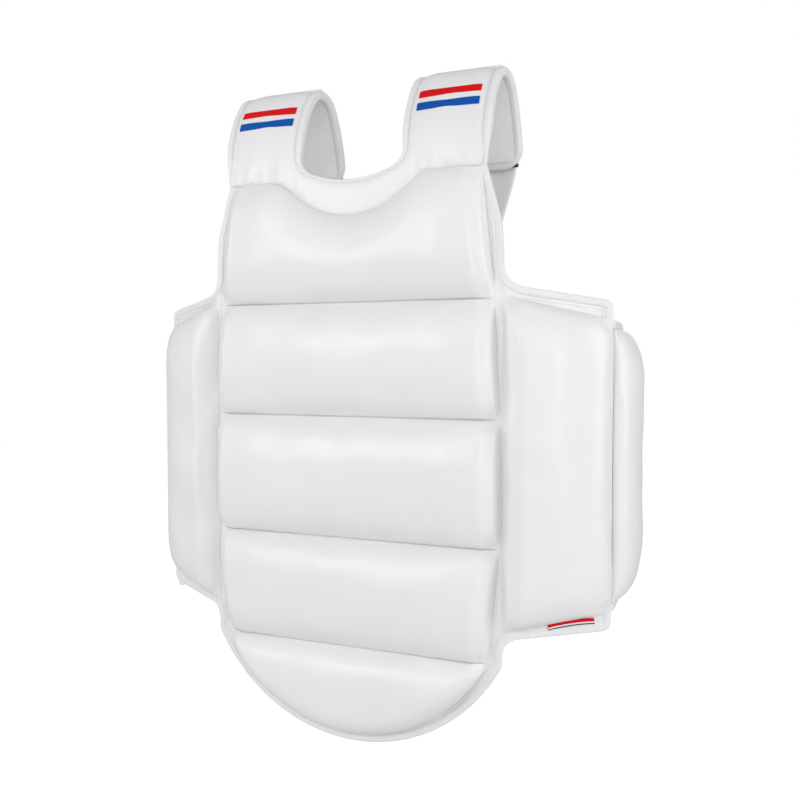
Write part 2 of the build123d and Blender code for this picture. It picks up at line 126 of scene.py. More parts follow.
# ---- numbers and outlines ----------------------------------------------------------
def smooth(x):
    """Eased step from 0 to 1."""
    x = np.clip(x, 0, 1)
    return x * x * (3 - 2 * x)


def crowded(count, amount=0.75):
    """Steps from 0 to 1 that crowd towards both ends."""
    t = np.linspace(0, 1, count + 1)
    return t - amount / (2 * math.pi) * np.sin(2 * math.pi * t)


def waves(x, y, seed, size, octaves=3):
    """Smooth wandering value about -1 to 1 over a surface, the same on every run."""
    draw = np.random.default_rng(seed)
    total = np.zeros(np.broadcast(x, y).shape)
    weight = 0.0
    for octave in range(octaves):
        share = 0.55 ** octave
        for _ in range(4):
            angle, phase = draw.uniform(0, 2 * math.pi, 2)
            step = 2 * math.pi / size * 1.9 ** octave * draw.uniform(0.7, 1.3)
            total = total + share * np.sin(step * (x * math.cos(angle) + y * math.sin(angle)) + phase)
        weight += share * 2
    return total / weight


def unit(vectors):
    """The vectors, each made one long."""
    return vectors / np.linalg.norm(vectors, axis=-1, keepdims=True)


def lengths(points):
    """Distance travelled along a line at each of its points."""
    return np.r_[0, np.cumsum(np.linalg.norm(np.diff(points, axis=0), axis=1))]


def along_line(points, where):
    """Places at set distances along a line."""
    length = lengths(points)
    return np.stack([np.interp(where, length, points[:, k]) for k in range(points.shape[1])], 1)


def evenly(line, count):
    """The line with a set number of points, evenly spaced."""
    return along_line(line, np.linspace(0, lengths(line)[-1], count))


def resample(points, step):
    """The same line with points about one step apart."""
    points = np.asarray(points, float)
    return evenly(points, max(2, int(round(lengths(points)[-1] / step)) + 1))


def rounded(corners, radii, step=1.5 * MM):
    """Open line through the corners, each rounded to its own radius."""
    line = [np.array(corners[0], float)]
    for before, corner, after, radius in zip(corners, corners[1:], corners[2:], radii):
        before, corner, after = (np.array(p, float) for p in (before, corner, after))
        if radius == 0:
            line.append(corner)
            continue
        a, b = before - corner, after - corner
        a, b = a / np.linalg.norm(a), b / np.linalg.norm(b)
        half = math.acos(np.clip(a @ b, -1, 1)) / 2
        reach = radius / math.tan(half)
        centre = corner + (a + b) / np.linalg.norm(a + b) * radius / math.sin(half)
        start, end = corner + a * reach - centre, corner + b * reach - centre
        turn = math.atan2(start[0] * end[1] - start[1] * end[0], start @ end)
        for t in np.linspace(0, turn, max(3, int(abs(turn) * radius / step) + 2)):
            c, s = math.cos(t), math.sin(t)
            line.append(centre + np.array([c * start[0] - s * start[1], s * start[0] + c * start[1]]))
    line.append(np.array(corners[-1], float))
    return np.array(line)


def leftwards(line):
    """Directions to the left of a flat line at each of its points."""
    along = unit(np.gradient(line, axis=0))
    return np.stack([-along[:, 1], along[:, 0]], 1)


def inwards(line, distance):
    """A line moved to its left by a distance."""
    line = np.asarray(line, float)
    return line + leftwards(line) * distance


# ---- how the flat cut wraps round the torso ----------------------------------------
class Wrap:
    """Places flat-cut points: x runs from the middle of the front round the side, z up, w out."""

    def __init__(self, ease=2.6 * MM, end=0.35):
        self.x = np.linspace(0, end, 3501)
        turn = WING_TURN * smooth((self.x - SIDE_X) / ease / 2 + 0.5)
        turn += (REAR_TURN - WING_TURN) * smooth((self.x - SIDE_X - WING_LENGTH) / ease / 2 + 0.5)
        step = self.x[1] - self.x[0]
        self.px = np.r_[0, np.cumsum(np.cos(turn[:-1]) * step)]
        self.py = SEAM_Y + np.r_[0, np.cumsum(np.sin(turn[:-1]) * step)]
        self.turn = turn

    def place(self, x, z, w, side=1):
        """Points in the row frame. The wearer's right takes the same cut with side -1."""
        x, z, w = np.broadcast_arrays(x, z, w)
        reach = np.abs(x)
        px, py, turn = (np.interp(reach, self.x, v) for v in (self.px, self.py, self.turn))
        mirror = np.where(x < 0, -1, 1) * side
        px = (px + w * np.sin(turn)) * mirror
        return np.stack([px, py - w * np.cos(turn), z], -1)


WRAP = Wrap()


def strap_table(step=0.5 * MM):
    """Places and outward directions along the outer face of a strap, against cut length."""
    point, heading = np.array([STRAP_FACE_Y, STRAP_BEND_Z]), math.pi / 2
    s, places, angles = [0.2, STRAP_BEND_Z], [np.array([STRAP_FACE_Y, 0.2]), point], [heading, heading]
    for radius, turn in STRAP_ARCS:
        count = int(radius * math.radians(turn) / step)
        for _ in range(count):
            part = math.radians(turn) / count
            heading -= part / 2
            point = point + radius * part * np.array([math.cos(heading), math.sin(heading)])
            heading -= part / 2
            s.append(s[-1] + radius * part)
            places.append(point)
            angles.append(heading)
    run_on = 0.04
    places.append(point + run_on * np.array([math.cos(heading), math.sin(heading)]))
    s.append(s[-1] + run_on)
    angles.append(heading)
    return np.array(s), np.array(places), np.array(angles), s[-2]


STRAP_S, STRAP_PLACES, STRAP_ANGLES, STRAP_END = strap_table()


def on_strap(x, s, w, side=1):
    """Point of a strap from its flat cut: x across, s along, w out of its outer face."""
    x, s, w = np.broadcast_arrays(x, s, w)
    y = np.interp(s, STRAP_S, STRAP_PLACES[:, 0])
    z = np.interp(s, STRAP_S, STRAP_PLACES[:, 1])
    angle = np.interp(s, STRAP_S, STRAP_ANGLES)
    return np.stack([x * side, y - w * np.sin(angle), z + w * np.cos(angle)], -1)


# ---- meshes ------------------------------------------------------------------------
def grid_faces(rows, columns, first=0, flip=False, closed=False):
    """Quads of a grid of rows by columns points. A closed grid joins its last column to its first."""
    i, j = np.meshgrid(np.arange(rows - 1), np.arange(columns if closed else columns - 1), indexing="ij")
    i, j = i.ravel(), j.ravel()
    k = (j + 1) % columns
    quads = np.stack([i * columns + j, i * columns + k, (i + 1) * columns + k, (i + 1) * columns + j], 1)
    return ((quads[:, ::-1] if flip else quads) + first).tolist()


def make_piece(name, points, faces, materials, slots=None, smooth_faces=True):
    """A mesh object from points and faces. slots gives each face its material."""
    mesh = bpy.data.meshes.new(name)
    mesh.from_pydata(np.asarray(points, float).reshape(-1, 3).tolist(), [], faces)
    for material in materials if isinstance(materials, (list, tuple)) else [materials]:
        mesh.materials.append(MATERIALS[material])
    if slots is not None:
        mesh.polygons.foreach_set("material_index", np.asarray(slots, np.int32))
    mesh.polygons.foreach_set("use_smooth", np.full(len(mesh.polygons), smooth_faces))
    tidy = bmesh.new()
    tidy.from_mesh(mesh)
    bmesh.ops.remove_doubles(tidy, verts=tidy.verts, dist=MERGE)
    bmesh.ops.recalc_face_normals(tidy, faces=tidy.faces)
    for edge in tidy.edges:
        if len(edge.link_faces) == 2 and edge.calc_face_angle() > SHARP_FROM:
            edge.smooth = False
    tidy.to_mesh(mesh)
    tidy.free()
    mesh.update()
    piece = bpy.data.objects.new(name, mesh)
    bpy.context.scene.collection.objects.link(piece)
    return piece


def settle(piece, slot, body, *nodes):
    """Hang a piece on the body it rides on and hide the solids it stands for. The slot is not used."""
    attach(piece, body)
    if nodes:
        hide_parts(*nodes)
    return piece


def section(width, height, power=2.6, count=18):
    """Closed rounded outline of a strip, centred, as (across, out) pairs."""
    t = np.linspace(0, 2 * math.pi, count, endpoint=False)
    sides = np.stack([np.cos(t), np.sin(t)], 1)
    return np.sign(sides) * np.abs(sides) ** (2 / power) * [width / 2, height / 2]


def rim_order(rows, columns):
    """Indices round the rim of a grid."""
    rim = list(range(columns))
    rim += [r * columns + columns - 1 for r in range(1, rows)]
    rim += [(rows - 1) * columns + k for k in range(columns - 2, -1, -1)]
    return rim + [r * columns for r in range(rows - 2, 0, -1)]


def closed_pair(front, back):
    """Points and faces of a sheet with a front grid, a back grid and a rim."""
    rows, columns = front.shape[:2]
    total = rows * columns
    faces = grid_faces(rows, columns) + grid_faces(rows, columns, total, True)
    rim = rim_order(rows, columns)
    faces += [[a, a + total, b + total, b] for a, b in zip(rim, rim[1:] + rim[:1])]
    return np.concatenate([front.reshape(-1, 3), back.reshape(-1, 3)]), faces


TAPER = 0.9     # size of a tape's end against its middle, so that two ends can overlap
AXIS_X, AXIS_Z = np.eye(3)[[0, 2]]


def sweep_mesh(centres, across, out, shape):
    """Points and faces of a section carried along a line, closed at both ends."""
    centres, across, out = (np.asarray(v, float) for v in (centres, across, out))
    shape = np.broadcast_to(shape, (len(centres), *np.shape(shape)[-2:]))
    points = (
        centres[:, None]
        + shape[:, :, 0, None] * across[:, None]
        + shape[:, :, 1, None] * out[:, None]
    )
    rows, columns = points.shape[:2]
    faces = grid_faces(rows, columns, closed=True)
    faces.append(list(range(columns)))
    faces.append([(rows - 1) * columns + k for k in range(columns)][::-1])
    return points.reshape(-1, 3), faces


def frames_along(place, line, lift=0.0, nudge=0.2 * MM):
    """Places, sideways and outward directions along a flat-cut line, on the wrapped surface."""
    line = np.asarray(line, float)
    aside = leftwards(line)
    centre = place(line[:, 0], line[:, 1], lift)
    out = place(line[:, 0], line[:, 1], lift + nudge) - centre
    beside = place(line[:, 0] + aside[:, 0] * nudge, line[:, 1] + aside[:, 1] * nudge, lift) - centre
    return centre, unit(beside), unit(out)


def joined(parts):
    """One set of points and faces from several."""
    points, faces, count = [], [], 0
    for these, polygons in parts:
        points.append(these)
        faces.extend([[index + count for index in polygon] for polygon in polygons])
        count += len(these)
    return np.concatenate(points), faces


def stitches(place, line, pitch=3.6 * MM, length=2.5 * MM, radius=0.36 * MM, lift=0.25 * MM):
    """Row of short threads along a flat-cut line."""
    line = resample(line, pitch)
    centre, beside, out = frames_along(place, line, lift)
    along = unit(np.gradient(centre, axis=0))
    parts = []
    ring = section(2 * radius, 1.5 * radius, 2.0, 6)
    sink = (-0.9 * radius, 0.1 * radius, 0.1 * radius, -0.9 * radius)
    reach = (-0.5, -0.25, 0.25, 0.5)
    swell = (0.45, 1.0, 1.0, 0.45)
    for c, a, b, o in zip(centre, along, beside, out):
        centres = [c + a * length * r + o * s for r, s in zip(reach, sink)]
        shape = np.stack([ring * k for k in swell])
        parts.append(sweep_mesh(centres, [b] * 4, [o] * 4, shape))
    return joined(parts)


def flat_sheet(place, outline, thick, spacing=5 * MM, bump=None):
    """Closed sheet over a flat-cut outline, out to w 0 and in to -thick. Returns points, faces and slots."""
    outline = resample(np.vstack([outline, outline[:1]]), spacing / 2)[:-1]
    spans = [np.arange(*ends, spacing) for ends in zip(outline.min(0), outline.max(0))]
    inner = np.stack([axis.ravel() for axis in np.meshgrid(*spans)], 1)
    inner = inner[[far_inside(p, outline, spacing * 0.4) for p in inner]]
    corners = [Vector(p) for p in np.vstack([outline, inner])]
    count = len(outline)
    ring = list(range(count))
    verts, _, faces, *_ = geometry.delaunay_2d_cdt(corners, [], [ring], 1, 1e-7)
    flat = np.array([list(v) for v in verts])
    lift = 0 if bump is None else bump(flat[:, 0], flat[:, 1])
    front = place(flat[:, 0], flat[:, 1], lift)
    back = place(flat[:, 0], flat[:, 1], lift - thick)
    n = len(flat)
    faces = [list(f) for f in faces]
    polygons = faces + [[i + n for i in f[::-1]] for f in faces]
    slots = [0] * len(faces) + [1] * len(faces)
    edge_use = {}
    for face in faces:
        for a, b in zip(face, face[1:] + face[:1]):
            edge_use[(a, b)] = True
    for a, b in edge_use:
        if (b, a) not in edge_use:
            polygons.append([b, a, a + n, b + n])
            slots.append(0)
    return np.concatenate([front, back]), polygons, slots


def far_inside(point, outline, distance):
    """Whether a point is inside the outline and no nearer to its edge than the distance."""
    a, b = outline, np.roll(outline, -1, axis=0)
    crosses = (a[:, 1] > point[1]) != (b[:, 1] > point[1])
    with np.errstate(divide="ignore", invalid="ignore"):
        where = a[:, 0] + (point[1] - a[:, 1]) * (b[:, 0] - a[:, 0]) / (b[:, 1] - a[:, 1])
    if np.count_nonzero(crosses & (point[0] < where)) % 2 == 0:
        return False
    return np.min(np.hypot(a[:, 0] - point[0], a[:, 1] - point[1])) > distance


# ---- padded cells ------------------------------------------------------------------
def lip(distance, radius, power=2.1):
    """Rise of a cover from a sewn seam: upright at the seam and level after one radius."""
    x = np.clip(distance / radius, 0, 1)
    return (1 - (1 - x) ** power) ** (1 / power)


FOAM_EDGE = np.linspace(0, 60 * MM, 241)
FOAM_RISE = np.interp(FOAM_EDGE, np.array([0, 2, 13, 18, 45, 60]) * MM, [0, 0.42, 0.85, 0.91, 1.0, 1.0])
FOAM_RISE = np.convolve(np.pad(FOAM_RISE, 5, mode="edge"), np.hanning(11) / np.hanning(11).sum(), "valid")
FOAM_RISE *= lip(FOAM_EDGE, 4 * MM)


def sewn_roll(distance, radius, foot=0.2):
    """Rise beside a level seam, where the squashed foam holds both covers a little off the sheet."""
    return foot + (1 - foot) * lip(distance, radius, 1.8)


def foam_end(distance):
    """Rise of a cover beside an upright fold: a short slope up to the square end of the foam."""
    return np.interp(distance, FOAM_EDGE, FOAM_RISE)


PUCKER_REACH = 9 * MM                               # how far gathers run in from a seam
END_PUCKER, SIDE_PUCKER = 0.8 * MM, 1.5 * MM        # height of the gathers
SAG = 0.035                                         # unevenness of the foam, as a share of its height
PINCH, PINCH_REACH = 0.35, 17 * MM                  # height left at a sewn corner, and how far it reaches


def cell_mesh(outline, height, counts, edges, seed):
    """Flat-cut grid of one cell.

    outline gives x and z from (s, t) in 0 to 1, and edges the rise at each side: left, right, low, high.
    """
    s, t = np.meshgrid(crowded(counts[0]), crowded(counts[1]))
    x, z = outline(s, t)
    left, right, bottom, top = (outline(*e) for e in ((0 * s, t), (0 * s + 1, t), (s, 0 * t), (s, 0 * t + 1)))
    gaps = [np.hypot(x - e[0], z - e[1]) for e in (left, right, bottom, top)]
    rise = np.prod([shape(gap) for shape, gap in zip(edges, gaps)], axis=0)
    corners = [outline(0 * s + a, 0 * t + b) for a in (0, 1) for b in (0, 1)]
    nearest = np.min([np.hypot(x - corner[0], z - corner[1]) for corner in corners], axis=0)
    rise = rise * (PINCH + (1 - PINCH) * smooth(nearest / PINCH_REACH))
    at_sides, at_ends = (np.exp(-np.minimum(*pair) / PUCKER_REACH) for pair in (gaps[:2], gaps[2:]))
    pucker = at_ends * waves(x * 1.6, z * 0.4, seed, 16 * MM, 2)
    side_pucker = at_sides * waves(x * 0.4, z * 1.4, seed + 1, 15 * MM, 2)
    sag = 1 + SAG * waves(x, z, seed + 2, 110 * MM, 2)
    w = height * rise * sag + rise * (END_PUCKER * pucker + SIDE_PUCKER * side_pucker)
    return x, z, w


def closed_cell(name, place, x, z, w, material, floor, simulate):
    """A cell's cover from its grid, closed behind by its rim and one flat face."""
    rows, columns = x.shape
    points = place(x, z, w).reshape(-1, 3)
    points = puffed(points, rows, columns, **simulate)
    order = rim_order(rows, columns)
    rim = place(x.ravel()[order], z.ravel()[order], floor)
    ring = [rows * columns + k for k in range(len(order))]
    faces = grid_faces(rows, columns)
    faces += [[a, b, c, d] for a, b, c, d in zip(order, ring, ring[1:] + ring[:1], order[1:] + order[:1])]
    faces.append(ring)
    return make_piece(name, np.concatenate([points, rim]), faces, material)


CALM, CALM_REACH = 0.8, 30 * MM     # share of the simulated move lost in the middle of a cell
CLOTH = {
    "quality": 5, "mass": 0.25, "tension_stiffness": 25, "compression_stiffness": 25, "shear_stiffness": 8,
    "bending_stiffness": 1.2, "vertex_group_mass": "held", "pin_stiffness": 1, "use_pressure": True,
    "air_damping": 3,
}


def puffed(points, rows, columns, pressure, slack, cap=5 * MM, frames=16):
    """Cloth simulation of a cover held at its seams and pushed out by its foam."""
    mesh = bpy.data.meshes.new("puff")
    mesh.from_pydata(points.tolist(), [], grid_faces(rows, columns))
    cloth_piece = bpy.data.objects.new("puff", mesh)
    bpy.context.scene.collection.objects.link(cloth_piece)
    index = np.arange(rows * columns).reshape(rows, columns)
    rim = np.concatenate([index[0], index[-1], index[:, 0], index[:, -1]])
    held = cloth_piece.vertex_groups.new(name="held")
    held.add([int(k) for k in np.unique(rim)], 1.0, "REPLACE")
    modifier = cloth_piece.modifiers.new("cloth", "CLOTH")
    settings = modifier.settings
    for title, value in CLOTH.items():
        setattr(settings, title, value)
    settings.uniform_pressure_force = pressure
    settings.shrink_min = -slack
    settings.effector_weights.gravity = 0
    modifier.point_cache.frame_start = 1
    modifier.point_cache.frame_end = frames
    scene = bpy.context.scene
    for number in range(1, frames + 1):
        scene.frame_set(number)
    graph = bpy.context.evaluated_depsgraph_get()
    done = cloth_piece.evaluated_get(graph).data
    moved = np.zeros(len(points) * 3)
    done.vertices.foreach_get("co", moved)
    move = moved.reshape(-1, 3) - points
    length = np.linalg.norm(move, axis=1)[:, None]
    move *= np.minimum(1, cap / np.maximum(length, 1e-9))
    gap = np.linalg.norm(points[:, None] - points[np.unique(rim)][None], axis=2).min(axis=1)
    move = (move * (1 - CALM * smooth(gap / CALM_REACH))[:, None]).reshape(rows, columns, 3)
    for _ in range(3):
        beside = move[:-2, 1:-1] + move[2:, 1:-1] + move[1:-1, :-2] + move[1:-1, 2:]
        move[1:-1, 1:-1] = (beside + 4 * move[1:-1, 1:-1]) / 8
    move = move.reshape(-1, 3)
    bpy.data.objects.remove(cloth_piece)
    bpy.data.meshes.remove(mesh)
    scene.frame_set(1)
    return points + move


# ---- materials ---------------------------------------------------------------------
MATERIALS = {}


def new_group(name, inputs, outputs):
    """Empty node group with named sockets. inputs are (name, default), outputs are names."""
    tree = bpy.data.node_groups.new(name, "ShaderNodeTree")
    for title, default in inputs:
        socket = tree.interface.new_socket(title, in_out="INPUT", socket_type="NodeSocketFloat")
        socket.default_value = default
    for title in outputs:
        tree.interface.new_socket(title, in_out="OUTPUT", socket_type="NodeSocketFloat")
    return tree, tree.nodes.new("NodeGroupInput"), tree.nodes.new("NodeGroupOutput")


def node(tree, kind, links=(), **settings):
    """New node with its settings, and links as (input, source socket or number)."""
    made = tree.nodes.new("ShaderNode" + kind)
    for key, value in settings.items():
        setattr(made, key, value)
    for where, source in links:
        if isinstance(source, bpy.types.NodeSocket):
            tree.links.new(source, made.inputs[where])
        else:
            made.inputs[where].default_value = source
    return made


def math_node(tree, operation, a, b=0.0):
    """Result of one sum."""
    return node(tree, "Math", [(0, a), (1, b)], operation=operation).outputs[0]


def place_on_piece(tree):
    """Position on the piece itself."""
    return node(tree, "TexCoord").outputs["Object"]


def leather_group():
    """Fine pebble grain, soft creases and handling marks of coated leather."""
    inputs = [("Grain Size", 900.0), ("Crease Size", 34.0), ("Crease Depth", 0.5), ("Mark Size", 9.0)]
    tree, ask, give = new_group("coated_leather", inputs, ["Height", "Creases", "Marks"])
    where = place_on_piece(tree)
    grain = node(tree, "TexVoronoi", [("Vector", where), ("Scale", ask.outputs["Grain Size"])], feature="F1")
    fine = node(tree, "TexNoise", [("Vector", where), ("Scale", ask.outputs["Grain Size"]), ("Detail", 3.0)])
    crease = node(
        tree, "TexNoise",
        [("Vector", where), ("Scale", ask.outputs["Crease Size"]), ("Detail", 4.0), ("Distortion", 1.2)])
    ridge = math_node(tree, "ABSOLUTE", math_node(tree, "SUBTRACT", crease.outputs[0], 0.5))
    ridge = math_node(tree, "POWER", math_node(tree, "SUBTRACT", 1.0, ridge), 9.0)
    ridge = math_node(tree, "MULTIPLY", ridge, ask.outputs["Crease Depth"])
    marks = node(
        tree, "TexNoise",
        [("Vector", where), ("Scale", ask.outputs["Mark Size"]), ("Detail", 5.0), ("Roughness", 0.6)])
    pebble = math_node(tree, "MULTIPLY", grain.outputs["Distance"], 0.55)
    height = math_node(tree, "ADD", pebble, math_node(tree, "MULTIPLY", fine.outputs[0], 0.45))
    tree.links.new(height, give.inputs["Height"])
    tree.links.new(ridge, give.inputs["Creases"])
    tree.links.new(marks.outputs[0], give.inputs["Marks"])
    return tree


def weave_group():
    """Threads that cross each other, with uneven thickness."""
    inputs = [("Threads", 900.0), ("Unevenness", 0.3)]
    tree, ask, give = new_group("woven_threads", inputs, ["Height", "Marks"])
    where = place_on_piece(tree)
    split = node(tree, "SeparateXYZ", [(0, where)])
    wander = node(tree, "TexNoise", [("Vector", where), ("Scale", 160.0), ("Detail", 2.0)])
    drift = math_node(tree, "MULTIPLY", wander.outputs[0], ask.outputs["Unevenness"])
    level = math_node(tree, "ADD", split.outputs["X"], split.outputs["Y"])
    ribs = []
    for run in (level, split.outputs["Z"]):
        turn = math_node(tree, "MULTIPLY", run, ask.outputs["Threads"])
        ribs.append(math_node(tree, "SINE", math_node(tree, "ADD", turn, drift)))
    crossing = math_node(tree, "MULTIPLY", ribs[0], ribs[1])
    height = math_node(tree, "MULTIPLY", math_node(tree, "ADD", crossing, 1.0), 0.5)
    tree.links.new(height, give.inputs["Height"])
    marks = node(tree, "TexNoise", [("Vector", where), ("Scale", 22.0), ("Detail", 4.0)])
    tree.links.new(marks.outputs[0], give.inputs["Marks"])
    return tree


def pile_group():
    """Short loops or hooks standing on a tape."""
    tree, ask, give = new_group("standing_pile", [("Pile Size", 1300.0)], ["Height", "Marks"])
    where = place_on_piece(tree)
    loops = node(tree, "TexVoronoi", [("Vector", where), ("Scale", ask.outputs["Pile Size"])])
    tree.links.new(loops.outputs["Distance"], give.inputs["Height"])
    clumps = node(tree, "TexNoise", [("Vector", where), ("Scale", 150.0), ("Detail", 4.0)])
    tree.links.new(clumps.outputs[0], give.inputs["Marks"])
    return tree


def surface(name, group, values, colours, roughness, bump, creases=0.0, **plain):
    """Material from an effect group: two colours and two roughnesses mixed by its marks."""
    material = bpy.data.materials.new(name)
    material.use_nodes = True
    tree = material.node_tree
    shader = tree.nodes["Principled BSDF"]
    effect = node(tree, "Group")
    effect.node_tree = group
    for title, value in values.items():
        effect.inputs[title].default_value = value
    marks = node(
        tree, "MapRange",
        [("Value", effect.outputs["Marks"]), ("From Min", 0.32), ("From Max", 0.68)])
    mixed = node(tree, "Mix", [("Factor", marks.outputs[0])], data_type="RGBA")
    mixed.inputs["A"].default_value = (*colours[0], 1)
    mixed.inputs["B"].default_value = (*colours[1], 1)
    tree.links.new(mixed.outputs["Result"], shader.inputs["Base Color"])
    rough = node(
        tree, "MapRange",
        [("Value", effect.outputs["Marks"]), ("From Min", 0.25), ("From Max", 0.75),
         ("To Min", roughness[0]), ("To Max", roughness[1])])
    tree.links.new(rough.outputs[0], shader.inputs["Roughness"])
    relief = node(
        tree, "Bump",
        [("Height", effect.outputs["Height"]), ("Strength", bump[0]), ("Distance", bump[1])])
    if creases:
        soft = node(
            tree, "Bump",
            [("Height", effect.outputs["Creases"]), ("Strength", creases), ("Distance", 0.6 * MM)])
        tree.links.new(soft.outputs[0], relief.inputs["Normal"])
    tree.links.new(relief.outputs[0], shader.inputs["Normal"])
    for title, value in plain.items():
        shader.inputs[title.replace("_", " ")].default_value = value
    MATERIALS[name] = material


def shade(colour, factor):
    """The colour made darker or lighter."""
    return tuple(min(1.0, part * factor) for part in colour)


def build_materials(colours):
    """Every finish on the protector."""
    leather, weave, pile = leather_group(), weave_group(), pile_group()
    cover = tuple(colours.cover)
    surface(
        "cover_leather", leather, {"Grain Size": 1100.0, "Crease Depth": 0.6},
        (shade(cover, 0.985), shade(cover, 1.01)), (0.36, 0.46), (0.20, 0.10 * MM), 0.14,
        Coat_Weight=0.24, Coat_Roughness=0.21, Specular_IOR_Level=0.42)
    edge = tuple(colours.edge)
    surface(
        "edge_tape", leather, {"Grain Size": 1500.0, "Crease Size": 90.0},
        (shade(edge, 0.96), edge), (0.38, 0.50), (0.25, 0.08 * MM), 0.45,
        Coat_Weight=0.06, Coat_Roughness=0.3)
    lining = tuple(colours.lining)
    surface(
        "lining_cloth", weave, {"Threads": 5200.0},
        (shade(lining, 0.93), lining), (0.72, 0.86), (0.5, 0.12 * MM), Sheen_Weight=0.2)
    surface(
        "thread", weave, {"Threads": 9000.0},
        (shade(edge, 0.93), edge), (0.5, 0.62), (0.5, 0.06 * MM))
    for name, colour in (("upper_tape", colours.upper_tape), ("lower_tape", colours.lower_tape)):
        surface(
            name, weave, {"Threads": 8200.0},
            (shade(colour, 0.90), tuple(colour)), (0.50, 0.62), (0.35, 0.06 * MM), Specular_IOR_Level=0.12)
    surface(
        "label_dark", weave, {"Threads": 8200.0},
        (shade(colours.label_dark, 0.8), tuple(colours.label_dark)), (0.5, 0.62), (0.35, 0.06 * MM))
    surface(
        "loop_pile", pile, {"Pile Size": 1500.0},
        (shade(edge, 0.86), shade(edge, 0.97)), (0.85, 0.95), (0.9, 0.5 * MM), Sheen_Weight=0.35)
    hooks = tuple(colours.hooks)
    surface(
        "hook_tape", pile, {"Pile Size": 900.0},
        (shade(hooks, 0.7), hooks), (0.45, 0.7), (0.9, 0.4 * MM))
    surface(
        "elastic_web", weave, {"Threads": 3600.0, "Unevenness": 0.6},
        (shade(lining, 0.92), shade(lining, 1.03)), (0.62, 0.78), (0.8, 0.3 * MM), Sheen_Weight=0.15)


# ---- the shape of each panel -------------------------------------------------------
def neck_seam(x):
    """Height of the curved seam over the chest: low in the middle, level towards the armholes."""
    bowl_r, low_z, turn_x = 90 * MM, 230 * MM, 92 * MM
    rise = NECK_SEAM_TOP - low_z
    reach = (turn_x ** 2 + rise ** 2) / (2 * rise)
    shoulder_r = reach - bowl_r
    half = math.atan2(turn_x, reach - rise)
    bend_x = bowl_r * math.sin(half)
    x = np.abs(x)
    bowl = low_z + bowl_r - np.sqrt(np.maximum(bowl_r ** 2 - np.minimum(x, bend_x) ** 2, 0))
    aside = np.clip(turn_x - x, 0, turn_x - bend_x)
    shoulder = NECK_SEAM_TOP - shoulder_r + np.sqrt(shoulder_r ** 2 - aside ** 2)
    return np.where(x < bend_x, bowl, shoulder)


def level_cell(lower, upper):
    """Outline of a cell between two level seams."""
    def outline(s, t):
        half = lower[1] + (upper[1] - lower[1]) * t
        return (2 * s - 1) * half, lower[0] + (upper[0] - lower[0]) * t + 0 * s
    return outline


def chest_outline(s, t):
    """Outline of the chest cell under the curved seam."""
    low_z, low_half = SEAMS["chest"]
    half = low_half + (CHEST_TOP_HALF - low_half) * t
    top = neck_seam((2 * s - 1) * CHEST_TOP_HALF)
    return (2 * s - 1) * half, low_z + (top - low_z) * t


def half_moon(x, half, depth):
    """Drop of a round hem below its chord."""
    radius = (half ** 2 + depth ** 2) / (2 * depth)
    return np.sqrt(np.maximum(radius ** 2 - np.minimum(np.abs(x), half) ** 2, 0)) - (radius - depth)


def flap_outline(s, t):
    """Outline of the half-moon cell."""
    seam_z, half = SEAMS["flap"]
    depth = seam_z - low("flap_cover").z
    x = -half * np.cos(math.pi * (0.04 + 0.92 * s)) / math.cos(math.pi * 0.04)
    return x, seam_z - (1 - t) * np.maximum(half_moon(x, half, depth), 1 * MM)


WING_LOW, WING_TOP = -150.4 * MM, 151.0 * MM
WING_REAR_LOW, WING_REAR_TOP = -132.0 * MM, 129.6 * MM


def wing_outline(s, t):
    """Outline of a front wing's cell, narrower at its rear fold."""
    x = SIDE_X + 0.5 * MM + s * (WING_LENGTH - 1.2 * MM)
    bottom = WING_LOW + (WING_REAR_LOW - WING_LOW) * s
    top = WING_TOP + (WING_REAR_TOP - WING_TOP) * s
    return x + 0 * t, bottom + (top - bottom) * t


def rear_outline(s, t):
    """Outline of a rear wing's cell, with round rear corners."""
    flange, radius = 6 * MM, 36 * MM
    length = REAR_LENGTH - flange
    reach = 0.6 * MM + s * (length - 0.6 * MM)
    middle = (REAR_LOW + REAR_HIGH) / 2
    full = (REAR_HIGH - REAR_LOW) / 2 - flange
    inside = np.clip(reach - (length - radius), 0, radius)
    half = full - radius + np.sqrt(np.maximum(radius ** 2 - inside ** 2, 0))
    return SIDE_X + WING_LENGTH + reach + 0 * t, middle + (2 * t - 1) * half


class BackPlane:
    """The sloping plane of the back harness: x across, v up the slope, w away from the wearer."""

    def __init__(self):
        run = STRAP_END + 6 * MM
        self.foot = on_strap(0.0, run, 4.4 * MM)
        aim = np.array([0, (low("belt_elastic").z + high("belt_elastic").z) / 2, 33 * MM])
        aim[1] = high("belt_elastic").y - 1.1 * MM
        fall = aim - self.foot
        self.length = np.linalg.norm(fall)
        self.down = fall / self.length
        self.out = np.array([0, -self.down[2], self.down[1]])

    def place(self, x, v, w, side=1):
        x, v, w = np.broadcast_arrays(x, v, w)
        base = self.foot - v[..., None] * self.down + w[..., None] * self.out
        return base + np.stack([x * side, 0 * x, 0 * x], -1)


BACK = BackPlane()
YOKE_TOP, YOKE_SIDE, YOKE_FOOT = -122 * MM, -144 * MM, -208 * MM
YOKE_HALF, TAIL_HALF = 84 * MM, 30 * MM


def yoke_half(v):
    """Half width of the yoke down its slope."""
    lean = smooth((YOKE_SIDE + 8 * MM - v) / (YOKE_SIDE - YOKE_FOOT + 8 * MM)) * 0.35
    lean += np.clip((YOKE_SIDE - v) / (YOKE_SIDE - YOKE_FOOT), 0, 1) * 0.65
    return YOKE_HALF + (TAIL_HALF + 6 * MM - YOKE_HALF) * lean


def yoke_outline(s, t):
    v = YOKE_FOOT + (YOKE_TOP - YOKE_FOOT) * t
    return (2 * s - 1) * (yoke_half(v) - 5 * MM), v + 0 * s


